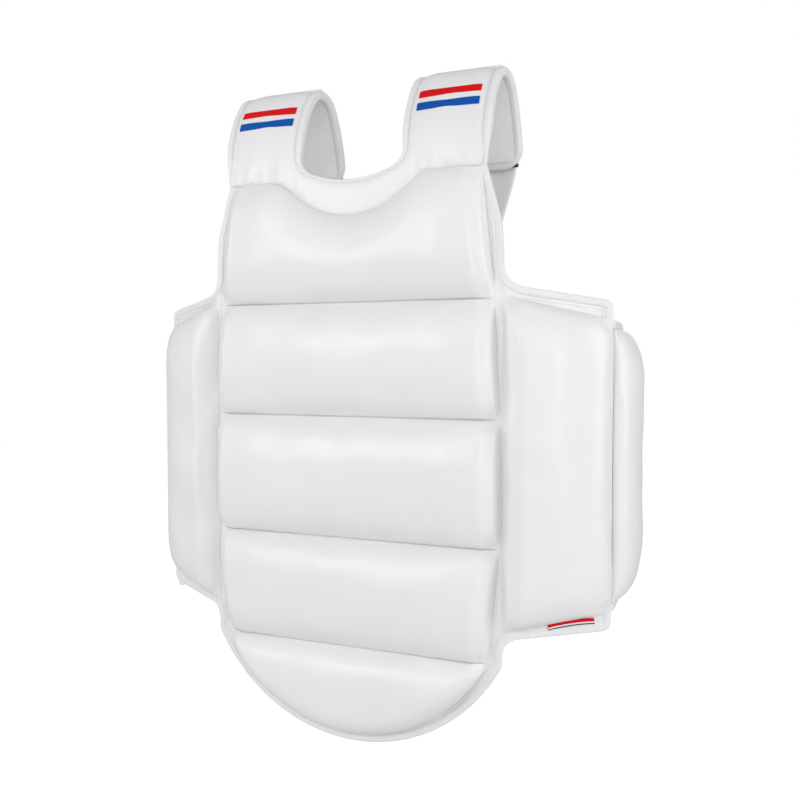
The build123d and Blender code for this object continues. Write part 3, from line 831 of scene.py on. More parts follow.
# ---- shoulder straps ---------------------------------------------------------------
def shoulder_edges():
    """Matched inner and outer edges of one half of the neck band with its strap."""
    low_r, corner_r, arc = 120 * MM, 24 * MM, math.radians(22)
    low_z = 261 * MM
    turn = np.linspace(0, arc, 16)
    bowl = np.stack([low_r * np.sin(turn), low_z + low_r - low_r * np.cos(turn)], 1)
    centre = bowl[-1] + corner_r * np.array([-math.sin(arc), math.cos(arc)])
    turn = np.linspace(arc, math.pi / 2, 14)[1:]
    corner = centre + corner_r * np.stack([np.sin(turn), -np.cos(turn)], 1)
    inner = np.vstack([bowl, corner])
    inner[:, 0] *= STRAP_IN / inner[-1, 0]
    across = np.linspace(0, CHEST_TOP_HALF, 60)
    outer = np.stack([across, neck_seam(across)], 1)
    return inner, outer


def shoulder_rows():
    """Inner and outer end of each row of the strap, from the middle of the neck to its rear end."""
    inner, outer = shoulder_edges()
    inner, outer = evenly(inner, 44), evenly(outer, 44)
    base = evenly(np.array([inner[-1], [STRAP_IN, 314 * MM]]), 15)[1:]
    side = evenly(np.array([outer[-1], [STRAP_OUT, 276 * MM], [STRAP_OUT, 314 * MM]]), 15)[1:]
    count = int((STRAP_END - 314 * MM) / (2.6 * MM))
    run = np.linspace(314 * MM, STRAP_END, count)[1:]
    inner = np.vstack([inner, base, np.stack([0 * run + STRAP_IN, run], 1)])
    outer = np.vstack([outer, side, np.stack([0 * run + STRAP_OUT, run], 1)])
    return inner, outer


def shoulder_face(inside, outside, s):
    """Outward offset of the strap's front face, from the distances to its two edges."""
    strap = -3.0 * MM + 4.2 * MM * lip(inside, 17 * MM) * lip(outside, 17 * MM)
    neck = -1.7 * MM + 1.9 * MM * lip(inside, 10 * MM) + 0.9 * MM * lip(outside, 14 * MM)
    grow = smooth((s - 268 * MM) / (34 * MM))
    return neck + (strap - neck) * grow


def shoulder_back(s):
    """Offset of the strap's lining."""
    return (-4.4 - 5.4 * smooth((s - 266 * MM) / (30 * MM))) * MM


def shoulder_grid():
    """Cut positions and outward offsets of the strap's front face."""
    inner, outer = shoulder_rows()
    t = crowded(26, 0.6)[None, :, None]
    flat = inner[:, None] * (1 - t) + outer[:, None] * t
    x, s = flat[..., 0], flat[..., 1]
    inside = np.hypot(*np.moveaxis(flat - inner[:, None], -1, 0))
    outside = np.hypot(*np.moveaxis(flat - outer[:, None], -1, 0))
    w = shoulder_face(inside, outside, s)
    near_seam = np.exp(-np.maximum(s - neck_seam(x), 0) / (14 * MM)) * smooth(outside / (8 * MM))
    pucker = waves(x, s * 0.25, 31, 20 * MM, 2)
    base = smooth((x - 30 * MM) / (35 * MM))
    w = w + near_seam * pucker * base * 1.6 * MM * smooth((s - neck_seam(x)) / (4 * MM))
    w = w + waves(x, s, 32, 70 * MM, 2) * 0.5 * MM * lip(inside, 20 * MM) * lip(outside, 20 * MM)
    return x, s, w, inner


def row_line(x, s, w, inset, outer_side=False):
    """Line across the rows at a set distance from the inner or outer edge."""
    if outer_side:
        x, s, w = x[:, ::-1], s[:, ::-1], w[:, ::-1]
    line = []
    for row in range(len(x)):
        gap = np.hypot(x[row] - x[row, 0], s[row] - s[row, 0])
        line.append([np.interp(inset, gap, values[row]) for values in (x, s, w)])
    return np.array(line)


def build_shoulder(side_name, widths):
    """Strap with its half of the neck band: padded cover, lining, edge tape and stitches."""
    side = SIDES[side_name]
    body = side_name + "_strap"
    x, s, w, inner = shoulder_grid()
    lie = partial(on_strap, side=side)
    front = lie(x, s, w)
    back = lie(x, s, shoulder_back(s))
    rows, columns = x.shape
    points, faces = closed_pair(front, back)
    quads = (rows - 1) * (columns - 1)
    slots = [0] * quads + [1] * quads + [0] * (len(faces) - 2 * quads)
    strap = make_piece(side_name + "_strap_pad", points, faces, ["cover_leather", "lining_cloth"], slots)
    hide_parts(*[f"{body}_{part}" for part in ("cover", "foam", "lining", "binding")])
    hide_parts("neck_band_cover", "neck_band_foam")
    bend_at_neck(strap)

    end_corner = 12 * MM
    contour = rounded(
        [inner[0] - [0.8 * MM, 0], *inner[2:-8:2], [STRAP_IN, STRAP_END], [STRAP_OUT, STRAP_END],
         [STRAP_OUT, 276 * MM], [CHEST_TOP_HALF + 0.6 * MM, NECK_SEAM_TOP + 1 * MM]],
        [0] * (len(inner[2:-8:2])) + [end_corner, end_corner, 0], 2 * MM)
    contour = resample(contour, 2.4 * MM)
    grow = smooth((contour[:, 1] - 264 * MM) / (44 * MM))
    wide = widths.strap_edge * (0.55 + 0.45 * grow)
    middle = inwards(contour, (wide / 2 - 1.0 * MM)[:, None])
    lift = -3.2 * MM - 1.6 * MM * grow
    thick = 4.4 * MM + 4.8 * MM * grow
    centres, beside, out = frames_along(lie, middle, lift)
    ring = section(1.0, 1.0, 2.9, 22)
    shape = ring[None] * np.stack([wide, thick], 1)[:, None]
    shape[[0, -1]] *= TAPER
    tape = make_piece(side_name + "_strap_edge", *sweep_mesh(centres, beside, out, shape), "edge_tape")
    bend_at_neck(tape)
    parts = []
    for outer_side, start in ((False, 2), (True, 46)):
        line = row_line(x, s, w, widths.strap_edge + 1.2 * MM, outer_side)
        parts.append(stitches(lie, line[start:-3], widths.stitch))
    seam = row_line(x, s, w, 3.2 * MM, True)[1:43]
    parts.append(stitches(lie, seam, widths.stitch))
    sewn = make_piece(side_name + "_strap_stitches", *joined(parts), "thread")
    bend_at_neck(sewn)
    build_stripes(side_name)


def bend_at_neck(piece):
    """Bake the piece's placement into its points."""
    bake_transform(piece)


def build_stripes(side_name):
    """Two woven tapes sewn across the front of the strap."""
    side = SIDES[side_name]
    node_name = side_name + "_stripe_tapes"
    lo, hi = low(node_name), high(node_name)
    x_low, x_high = sorted((abs(lo.x), abs(hi.x)))
    radius, wide = STRAP_ARCS[0][0], 8.0 * MM
    for name, colour, angle in (("upper", "upper_tape", 29.7), ("lower", "lower_tape", 22.5)):
        middle = STRAP_BEND_Z + radius * math.radians(angle)
        across = np.linspace(x_low - 2 * MM, x_high + 2 * MM, 40)
        x, s = np.meshgrid(across, middle + np.linspace(-1, 1, 9) * wide / 2)
        face = shoulder_face(x - STRAP_IN, STRAP_OUT - x, s)
        edge = lip(wide / 2 - np.abs(s - middle), 1.0 * MM)
        top = face + (0.25 + 0.55 * edge) * MM
        under = face - 0.9 * MM
        points, faces = closed_pair(on_strap(x, s, top, side), on_strap(x, s, under, side))
        tape = make_piece(f"{side_name}_{name}_tape", points, faces, colour)
        settle(tape, "stripe_tape", side_name + "_strap")
    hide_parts(node_name)


# ---- front, wings and flap ---------------------------------------------------------
def build_cell(name, place, outline, height, counts, edges, seed, body, nodes, sizes, floor=-0.5 * MM):
    """One padded cell: its cover swells over the foam between its sewn seams."""
    x, z, w = cell_mesh(outline, height, counts, edges, seed)
    puff = {"pressure": sizes.pressure, "slack": sizes.slack}
    cell = closed_cell(name, place, x, z, w, "cover_leather", floor, puff)
    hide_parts(*nodes)
    if body:
        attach(cell, body)
    return cell


def build_front(sizes):
    """Four cells of the front panel."""
    seam = partial(sewn_roll, radius=sizes.seam_roll)
    edges = [foam_end, foam_end, seam, seam]
    outlines = {
        "belly": level_cell(SEAMS["flap"], SEAMS["belly"]),
        "middle": level_cell(SEAMS["belly"], SEAMS["middle"]),
        "upper": level_cell(SEAMS["middle"], SEAMS["chest"]),
        "chest": chest_outline,
    }
    for seed, (name, outline) in enumerate(outlines.items()):
        build_cell(
            name + "_cell", WRAP.place, outline, sizes.cell_height, (84, 34), edges, 40 + 5 * seed,
            "front_panel", (name + "_cover", name + "_foam"), sizes)


def build_flap(sizes):
    """Half-moon cell of the lower flap."""
    edges = [np.ones_like, np.ones_like, partial(lip, radius=sizes.seam_roll * 0.5),
             partial(sewn_roll, radius=sizes.seam_roll * 0.9)]
    cell = build_cell(
        "flap_cell", WRAP.place, flap_outline, sizes.cell_height * 0.9, (84, 30), edges, 71,
        None, ("flap_cover", "flap_foam"), sizes)
    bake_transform(cell)


def build_wings(sizes):
    """Front and rear wing cells of both sides."""
    roll = partial(lip, radius=sizes.seam_roll)
    for side_name, side in SIDES.items():
        place = partial(WRAP.place, side=side)
        build_cell(
            side_name + "_wing_cell", place, wing_outline, sizes.cell_height, (40, 96),
            [foam_end, roll, roll, roll], 90 + side, side_name + "_wing",
            (side_name + "_wing_cover", side_name + "_wing_foam"), sizes)
        build_cell(
            side_name + "_rear_wing_cell", place, rear_outline, sizes.cell_height * 0.95, (40, 84),
            [roll, roll, roll, roll], 110 + side, side_name + "_rear_wing",
            (side_name + "_rear_wing_cover", side_name + "_rear_wing_foam"), sizes)


SHEET_END = SIDE_X - 2.5 * MM       # the front sheet meets the wing sheets just before the fold
REAR_START = SIDE_X + WING_LENGTH - 2.5 * MM
SHEET_FOOT = SEAMS["flap"][0] + 2 * MM
ARM_TOP, ARM_FOOT = 215 * MM, 186 * MM      # heights at which the armhole leaves the chest and meets the wing
SHEET_THICK = 2 * MM


def front_sheet_outline():
    """Front sheet from the lowest seam up to the curved neck seam."""
    top = np.linspace(CHEST_TOP_HALF + 2 * MM, -CHEST_TOP_HALF - 2 * MM, 90)
    seam = [(x, neck_seam(x) + 1 * MM) for x in top]
    side = [(SHEET_END, SHEET_FOOT), (SHEET_END, ARM_FOOT), (SHEET_END, ARM_TOP)]
    return np.array([(-SHEET_END, SHEET_FOOT), *side, *seam, (-SHEET_END, ARM_TOP), (-SHEET_END, ARM_FOOT)])


def flap_sheet_outline():
    """Flap sheet with its round hem."""
    half, depth = 152 * MM, 91.5 * MM
    seam = SEAMS["flap"][0]
    turn = np.linspace(0, math.pi, 90)
    x = -half * np.cos(turn)
    hem = np.stack([x, seam - half_moon(x, half, depth)], 1)
    top = seam + 2 * MM
    return np.vstack([[(-half, top)], hem, [(half, top)]])


def wing_hem():
    """Free edge of a front wing: along its foot from the rear corner, and along its top."""
    rear = REAR_START + 0.5 * MM
    foot = rounded(
        [(rear, REAR_LOW - 1 * MM), (rear, -147 * MM), (SIDE_X, -157 * MM), (SIDE_X, SHEET_FOOT)],
        [7 * MM, 16 * MM])
    head = rounded(
        [(SIDE_X, 190 * MM), (SIDE_X, 160 * MM), (rear, 145 * MM), (rear, REAR_HIGH + 1 * MM)],
        [22 * MM, 7 * MM])
    return foot, head


def wing_sheet_outline():
    """Front wing sheet with its flat flanges above and below the cell."""
    foot, head = wing_hem()
    return np.vstack([[(SHEET_END, foot[-1][1])], foot[::-1], head[::-1], [(SHEET_END, head[0][1])]])[::-1]


def rear_hem():
    """Free edge of a rear wing with its two round corners."""
    end = SIDE_X + WING_LENGTH + REAR_LENGTH
    start = REAR_START + 0.5 * MM
    return rounded([(start, REAR_LOW), (end, REAR_LOW), (end, REAR_HIGH), (start, REAR_HIGH)], [42 * MM] * 2)


def armhole_hem():
    """Free edge of the front sheet from the strap's foot down to the wing."""
    return rounded(
        [(STRAP_OUT + 1 * MM, NECK_SEAM_TOP + 2 * MM), (150 * MM, ARM_TOP), (SIDE_X, 190 * MM)], [60 * MM])


def sheet_ripple(x, z):
    """Slight waves of a sheet under its covers."""
    return 0.35 * MM * waves(x, z, 17, 60 * MM, 2)


def build_sheet(name, place, outline, body, node_name, across_fold=None):
    """Backing sheet: coated cloth outside, lining cloth towards the wearer."""
    points, faces, slots = flat_sheet(place, outline, SHEET_THICK, bump=sheet_ripple)
    sheet = make_piece(name, points, faces, ["cover_leather", "lining_cloth"], slots)
    if across_fold:
        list(fold_span(body))
        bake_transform(sheet)
    else:
        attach(sheet, body)
    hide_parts(node_name)
    return sheet


FOLD_HALF = 2.4 * MM            # half the width of the span found either side of a fold


def fold_span(body):
    """Places just before and just after the fold of a wing or the flap."""
    joint = JOINTS[body + "_fold"]
    middle = np.array(joint["pos_m"], float)
    if body == "lower_flap":
        return tuple(middle + [0, 0, FOLD_HALF]), tuple(middle - [0, 0, FOLD_HALF])
    side = 1 if body.startswith("left") else -1
    turn = WING_TURN / 2 if "rear" not in body else (WING_TURN + REAR_TURN) / 2
    aim = np.array([math.cos(turn) * side, math.sin(turn), 0]) * FOLD_HALF
    return tuple(middle - aim), tuple(middle + aim)


def build_edge(name, place, hem, widths, bodies, node_name=None):
    """Folded tape round a free edge, with its two rows of stitches."""
    hem = resample(hem, 2.2 * MM)
    centres, beside, out = frames_along(place, inwards(hem, widths.edge / 2 - 1.2 * MM), -1.0 * MM)
    shape = np.repeat(section(widths.edge, widths.edge_thickness, 3.4, 22)[None], len(centres), 0)
    shape[[0, -1]] *= TAPER
    tape = make_piece(name, *sweep_mesh(centres, beside, out, shape), "edge_tape")
    rows = [stitches(place, inwards(hem, widths.edge - 2.9 * MM)[2:-2], widths.stitch,
                     lift=widths.edge_thickness / 2 - 1.0 * MM)]
    rows.append(stitches(place, inwards(hem, widths.edge + 1.2 * MM)[2:-2], widths.stitch, lift=0.35 * MM))
    sewn = make_piece(name + "_stitches", *joined(rows), "thread")
    for piece in (tape, sewn):
        if len(bodies) == 2:
            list(fold_span(bodies[1]))
            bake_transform(piece)
        else:
            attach(piece, bodies[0])
    if node_name:
        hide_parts(node_name)
    return tape


def build_backing(widths):
    """Backing sheets and the bound edges of the front, wings and flap."""
    build_sheet("front_backing", WRAP.place, front_sheet_outline(), "front_panel", "front_lining")
    build_sheet("flap_backing", WRAP.place, flap_sheet_outline(), "lower_flap", "flap_lining", "front_panel")
    hem = flap_sheet_outline()
    hem = np.array([(-SIDE_X, hem[0][1] + 2 * MM), *hem[3:-3:3], (SIDE_X, hem[-1][1] + 2 * MM)])
    build_edge("flap_edge", WRAP.place, hem, widths, ("front_panel", "lower_flap"), "flap_binding")
    foot, head = wing_hem()
    for side_name, side in SIDES.items():
        place = partial(WRAP.place, side=side)
        wing, rear = side_name + "_wing", side_name + "_rear_wing"
        build_sheet(wing + "_backing", place, wing_sheet_outline(), wing, wing + "_lining", "front_panel")
        build_sheet(rear + "_backing", place, rear_hem(), rear, rear + "_lining", wing)
        arm = np.vstack([armhole_hem()[:-1], head])[::-1]
        build_edge(side_name + "_armhole_edge", place, arm, widths, ("front_panel", wing), wing + "_binding")
        build_edge(wing + "_foot_edge", place, foot[::-1], widths, ("front_panel", wing))
        build_edge(rear + "_edge", place, rear_hem(), widths, (wing, rear), rear + "_binding")
    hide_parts("front_binding")


def build_label():
    """Small woven label folded over the lower flange of the left wing, with plain bands."""
    lo, hi = low("side_label"), high("side_label")
    middle_z = (lo.z + hi.z) / 2
    x_start = SIDE_X + sum(math.hypot(end.x - SIDE_X, end.y - SEAM_Y) for end in (lo, hi)) / 2
    wide, tall, tilt = 42 * MM, 5.6 * MM, math.radians(8.5)
    bands = [(0.24, "label_dark"), (0.46, "edge_tape"), (1.0, "upper_tape")]
    t, h = np.meshgrid(np.linspace(-0.5, 0.5, 43), np.linspace(-0.5, 0.5, 14))
    x = x_start + t * wide * math.cos(tilt) - h * tall * math.sin(tilt)
    z = middle_z + t * wide * math.sin(tilt) + h * tall * math.cos(tilt) - 1.2 * MM * (2 * t) ** 2
    w = (0.5 + 0.7 * lip(0.5 * tall - np.abs(h) * tall, 0.8 * MM)) * MM
    points, faces = closed_pair(WRAP.place(x, z, w), WRAP.place(x, z, 0 * w + 0.1 * MM))
    rows, columns = t.shape
    share = np.tile(np.repeat((np.arange(rows - 1) + 0.5) / (rows - 1), columns - 1), 2)
    slots = [next(k for k, band in enumerate(bands) if value <= band[0]) for value in share]
    slots += [1] * (len(faces) - len(slots))
    label = make_piece("wing_label", points, faces, [band[1] for band in bands], slots)
    settle(label, "label_tape", "left_wing", "side_label")


def build_corner_tab():
    """Short folded tape that stands out below the rear corner of the right wing."""
    x_middle, wide, top_z, tall = REAR_START - 9 * MM, 10 * MM, -141 * MM, 11 * MM
    t, h = np.meshgrid(np.linspace(-0.5, 0.5, 9), np.linspace(0, 1, 10))
    x = x_middle + t * wide
    z = top_z - h * tall
    half = 0.9 * MM * lip(0.5 - np.abs(t), 0.12) * lip(1 - h, 0.12) + 0.15 * MM
    middle = -1.0 * MM + 0.6 * MM * h
    front = WRAP.place(x, z, middle + half, -1)
    back = WRAP.place(x, z, middle - half, -1)
    points, faces = closed_pair(front, back)
    tab = make_piece("wing_corner_tab", points, faces, "edge_tape")
    settle(tab, "binding", "right_wing")


# ---- belt and back harness ---------------------------------------------------------
def flat_ring(width, thick, count=9):
    """Outline of a flat strap with rounded edges."""
    r = thick / 2
    a = width / 2 - r
    run = np.linspace(-1, 1, count)

    def quarter(cx, start):
        turns = (math.radians(start + t) for t in (30, 60, 90))
        return [(cx + r * math.cos(turn), r * math.sin(turn)) for turn in turns]

    ring = [(a * k, r) for k in -run] + quarter(-a, 90) + quarter(-a, 180)
    ring += [(a * k, -r) for k in run] + quarter(a, 270) + quarter(a, 0)
    points = np.array(ring)
    keep = np.r_[True, np.linalg.norm(np.diff(points, axis=0), axis=1) > 1e-7]
    return points[keep]


ELASTIC_WIDE, ELASTIC_THICK = 54 * MM, 2.2 * MM


def elastic_line(end_x, level_y, side):
    """Middle line of an elastic, round the flank and across the back, seen from above."""
    start = np.array([abs(JOINTS["belt_fold"]["pos_m"][0]), JOINTS["belt_fold"]["pos_m"][1]])
    turn = math.pi - REAR_TURN
    radius = (level_y - start[1]) / (1 - math.cos(turn))
    square = REAR_TURN + math.pi / 2
    centre = start + np.array([math.cos(square), math.sin(square)]) * radius
    tail = start - 14 * MM * np.array([math.cos(REAR_TURN), math.sin(REAR_TURN)])
    arc = [centre - radius * np.array([math.cos(a), math.sin(a)]) for a in square + np.linspace(0, turn, 18)]
    return resample(np.vstack([tail, arc, [(end_x, level_y)]]), 4 * MM) * [side, 1]


def band_along(name, line, width, thick, material):
    """Upright flat strap along a line seen from above."""
    along = unit(np.gradient(line, axis=0))
    out = np.stack([along[:, 1], -along[:, 0], 0 * line[:, 0]], 1)
    centres = np.stack([line[:, 0], line[:, 1], 0 * line[:, 0]], 1)
    up = np.tile(AXIS_Z, (len(line), 1))
    return make_piece(name, *sweep_mesh(centres, up, out, flat_ring(width, thick)), material)


def build_belt():
    """Long elastic with its hooks and pull tab, and the short one with its loops."""
    end = high("belt_elastic")
    line = elastic_line(-end.x, end.y - ELASTIC_THICK / 2, -1)
    belt = band_along("waist_elastic", line, ELASTIC_WIDE, ELASTIC_THICK, "elastic_web")
    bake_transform(belt)
    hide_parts("belt_elastic")
    line = elastic_line(low("side_elastic").x, high("side_loop_patch").y - 2.1 * MM, 1)
    side = band_along("side_web", line, ELASTIC_WIDE, ELASTIC_THICK, "elastic_web")
    settle(side, "elastic", "left_rear_wing", "side_elastic")
    for name, node_name, material, slot, body in (
        ("belt_hooks", "belt_hook_patch", "hook_tape", "hook_tape", "belt"),
        ("belt_tab", "belt_pull_tab", "edge_tape", "pull_tab", "belt"),
        ("side_loops", "side_loop_patch", "loop_pile", "loop_pile", "left_rear_wing"),
    ):
        lo, hi = low(node_name), high(node_name)
        line = np.array([(x, (lo.y + hi.y) / 2) for x in np.linspace(lo.x, hi.x, 18)])
        settle(band_along(name, line, hi.z - lo.z, hi.y - lo.y, material), slot, body, node_name)


REAR_STRAP_WIDE, REAR_STRAP_THICK = 71 * MM, 4.2 * MM
REAR_STRAP_LIFT = 4.4 * MM          # middle of a rear strap over the face of the shoulder strap
STRAP_LEAN = 50 * MM                # shift of a rear strap towards the spine at the yoke


def past_crest(degrees):
    """Cut length of a place on the strap some degrees behind its crest."""
    arcs = [radius * math.radians(turn) for radius, turn in STRAP_ARCS]
    return STRAP_BEND_Z + arcs[0] + arcs[1] + STRAP_ARCS[2][0] * math.radians(degrees)


def softened(values):
    """A run of values averaged over five neighbours, with its ends kept."""
    padded = np.pad(values, 2, mode="reflect", reflect_type="odd")
    return np.convolve(padded, np.ones(5) / 5, "valid")


def back_strap_line():
    """Middle of a rear strap, as (place, shift across), from the shoulder down to the yoke."""
    run = np.linspace(past_crest(12), STRAP_END + 5 * MM, 26)
    over = on_strap(0 * run, run, REAR_STRAP_LIFT)
    v = np.linspace(-6 * MM, YOKE_TOP - 14 * MM, 30)
    fall = BACK.place(0 * v, v, 0 * v)
    shift = np.r_[0 * run, STRAP_LEAN * np.clip(-v / (-YOKE_TOP), 0, 1)]
    line = np.vstack([over, fall])
    for _ in range(2):
        line[:, 1], line[:, 2] = softened(line[:, 1]), softened(line[:, 2])
        shift = softened(shift)
    return line, shift


def build_harness(sizes):
    """Rear straps, padded yoke, tail and belt sleeve."""
    line, shift = back_strap_line()
    along = unit(np.gradient(line, axis=0))
    out = np.stack([0 * along[:, 0], -along[:, 2], along[:, 1]], 1)
    aside = np.tile(AXIS_X, (len(line), 1))
    ring = flat_ring(REAR_STRAP_WIDE, REAR_STRAP_THICK)
    for side_name, side in SIDES.items():
        centres = line + np.outer((STRAP_MIDDLE - shift) * side, AXIS_X)
        name = side_name + "_back_strap"
        strap = make_piece(name, *sweep_mesh(centres, aside, out, ring), "cover_leather")
        settle(strap, "webbing", "harness", side_name + "_rear_strap")
        rows = [strap_stitches(centres, out, inset, sizes.stitch) for inset in (-31 * MM, 31 * MM)]
        settle(make_piece(name + "_stitches", *joined(rows), "thread"), "webbing", "harness")
    build_hooks()
    build_yoke(sizes)
    build_sleeve()


def strap_stitches(centres, out, inset, pitch):
    """Threads down one side of a rear strap."""
    spread = (0.5, 1, 1, 0.5)
    shape = section(0.8 * MM, 0.6 * MM, 2.0, 6)[None] * np.array(spread)[:, None, None]
    spots = np.linspace(0, len(centres) - 1.01, 600)
    face = centres + out * 2.2 * MM + AXIS_X * inset
    at = np.stack([np.interp(spots, np.arange(len(face)), face[:, i]) for i in range(3)], 1)
    spots = np.arange(2 * MM, lengths(at)[-1] - 2 * MM, pitch)
    parts = []
    for place, ahead in zip(along_line(at, spots), along_line(at, spots + pitch * 0.35)):
        along = ahead - place
        up = unit(np.cross(AXIS_X, along))
        thread = [place + along * reach for reach in (-1, -0.5, 0.5, 1)]
        parts.append(sweep_mesh(thread, [AXIS_X] * 4, [up] * 4, shape))
    return joined(parts)


def tape_on_strap(name, run, lift, thick, material, side):
    """Hook or loop tape that follows the curve of a strap."""
    centres = on_strap(STRAP_MIDDLE + 0 * run, run, lift, side)
    out = (on_strap(STRAP_MIDDLE + 0 * run, run, lift + 1 * MM, side) - centres) / (1 * MM)
    aside = np.tile(AXIS_X, (len(run), 1))
    return make_piece(name, *sweep_mesh(centres, aside, out, flat_ring(56 * MM, thick)), material)


def build_hooks():
    """Hook tape under each rear strap, its folded black hem, and the loop tape it closes on."""
    for side_name, side in SIDES.items():
        run = np.linspace(past_crest(12), STRAP_END + 2 * MM, 40)
        hooks = tape_on_strap(side_name + "_hook_tape", run, 1.9 * MM, 1.0 * MM, "hook_tape", side)
        settle(hooks, "hook_tape", "harness", side_name + "_rear_hook_patch")
        across = np.linspace(STRAP_IN, STRAP_OUT, 24)
        hem_at = on_strap(across, STRAP_END + 3 * MM, -0.8 * MM, side)
        out = unit(on_strap(across, STRAP_END + 3 * MM, 0.2 * MM, side) - hem_at)
        down = np.cross(out, AXIS_X)
        shape = section(4 * MM, 6.4 * MM, 3.0, 18)
        hem = make_piece(side_name + "_hook_hem", *sweep_mesh(hem_at, down, out, shape), "hook_tape")
        settle(hem, "hook_tape", "harness")
        run = np.linspace(past_crest(20), STRAP_END, 34)
        loops = tape_on_strap(side_name + "_loop_tape", run, 0.6 * MM, 1.2 * MM, "loop_pile", side)
        settle(loops, "loop_pile", side_name + "_strap", side_name + "_loop_patch")


def build_yoke(sizes):
    """Padded yoke between the shoulder blades with its lining and bound edge."""
    build_cell(
        "yoke_cell", BACK.place, yoke_outline, 8 * MM, (48, 30), [partial(lip, radius=16 * MM)] * 4, 150,
        "harness", ("back_yoke_cover", "back_yoke_foam"), sizes)
    v = np.linspace(YOKE_TOP, YOKE_FOOT, 26)
    right = np.stack([yoke_half(v), v], 1)
    outline = np.vstack([right[::-1], right * [-1, 1]])
    points, faces, slots = flat_sheet(BACK.place, outline, SHEET_THICK, 6 * MM)
    sheet = make_piece("yoke_backing", points, faces, ["cover_leather", "lining_cloth"], slots)
    settle(sheet, "lining", "harness", "back_yoke_lining")
    foot_half = TAIL_HALF + 6 * MM
    sides = [(foot_half, YOKE_FOOT), (YOKE_HALF, YOKE_SIDE), (YOKE_HALF, YOKE_TOP)]
    hem = rounded(
        [(-TAIL_HALF, YOKE_FOOT), *sides, *((-x, z) for x, z in sides[::-1]),
         (-TAIL_HALF + 2 * MM, YOKE_FOOT)],
        [7 * MM, 14 * MM, 9 * MM, 9 * MM, 14 * MM, 7 * MM])
    build_edge("yoke_edge", BACK.place, hem, sizes, ("harness",))
    count = 12
    top, end = (BACK.place(0.0, v, 0.0) for v in (YOKE_FOOT + 6 * MM, -BACK.length + 2 * MM))
    aside, out = np.tile(AXIS_X, (count, 1)), np.tile(BACK.out, (count, 1))
    points, faces = sweep_mesh(np.linspace(top, end, count), aside, out, flat_ring(2 * TAIL_HALF, 4 * MM))
    settle(make_piece("yoke_tail", points, faces, "cover_leather"), "webbing", "harness")


def build_sleeve():
    """Flat sleeve through which the waist elastic slides."""
    lo, hi = low("belt_sleeve"), high("belt_sleeve")
    level, tall = hi.y - 3.1 * MM, -2 * lo.z
    rings = (flat_ring(tall, 6.4 * MM), flat_ring(tall - 12 * MM, 3.3 * MM))
    across = np.linspace(lo.x, hi.x, 15)
    count = len(rings[0])
    points = [(x, level + y, z) for x in across for ring in rings for z, y in ring]
    faces = []
    for k in range(len(across) - 1):
        for base, flip in ((0, False), (count, True)):
            for j in range(count):
                a = k * 2 * count + base + j
                b = k * 2 * count + base + (j + 1) % count
                quad = [a, b, b + 2 * count, a + 2 * count]
                faces.append(quad[::-1] if flip else quad)
    for start in (0, (len(across) - 1) * 2 * count):
        for j in range(count):
            k = (j + 1) % count
            faces.append([start + j, start + k, start + count + k, start + count + j])
    sleeve = make_piece("belt_loop", points, faces, "cover_leather")
    settle(sleeve, "webbing", "harness", "belt_sleeve")


# ---- stage -------------------------------------------------------------------------
STAGE_AIM = (0, 0, 0.03)
LAMPS = {       # place, size, and power as a share of the main lamp
    "front_soft": ((-0.7, -2.3, 1.25), (2.4, 1.2), 0.74),
    "spot_left": ((-0.89, -1.62, 0.47), (0.07, 0.60), 0.33),
    "spot_right": ((-0.55, -1.81, 0.47), (0.07, 0.60), 0.33),
    "left_soft": ((-2.0, -1.1, 0.4), (0.6, 1.2), 0.75),
    "side_strip": ((1.24, -1.60, 0.30), (0.20, 1.1), 0.42),
    "side_soft": ((2.2, -0.3, 0.5), (0.9, 1.6), 1.8),
    "fill": ((0.85, -1.9, 0.45), (1.3, 1.3), 0.50),
    "back_soft": ((-0.6, 2.3, 0.9), (1.8, 1.2), 0.70),
}
FLOOR_HALF, FLOOR_SHADE = 6.0, 0.72
CAMERA_PLACE, CAMERA_DOWN, CAMERA_TURN = (0.449, -0.933, 0.093), 2.27, 25.5     # metres, degrees
SENSOR = 36


def area_light(name, place, size, power):
    """Soft rectangular lamp that points at the protector."""
    lamp = bpy.data.lights.new(name, "AREA")
    lamp.shape = "RECTANGLE"
    lamp.size, lamp.size_y = size
    lamp.energy = power
    holder = bpy.data.objects.new(name, lamp)
    holder.location = place
    holder.rotation_euler = (Vector(STAGE_AIM) - Vector(place)).to_track_quat("-Z", "Y").to_euler()
    bpy.context.scene.collection.objects.link(holder)


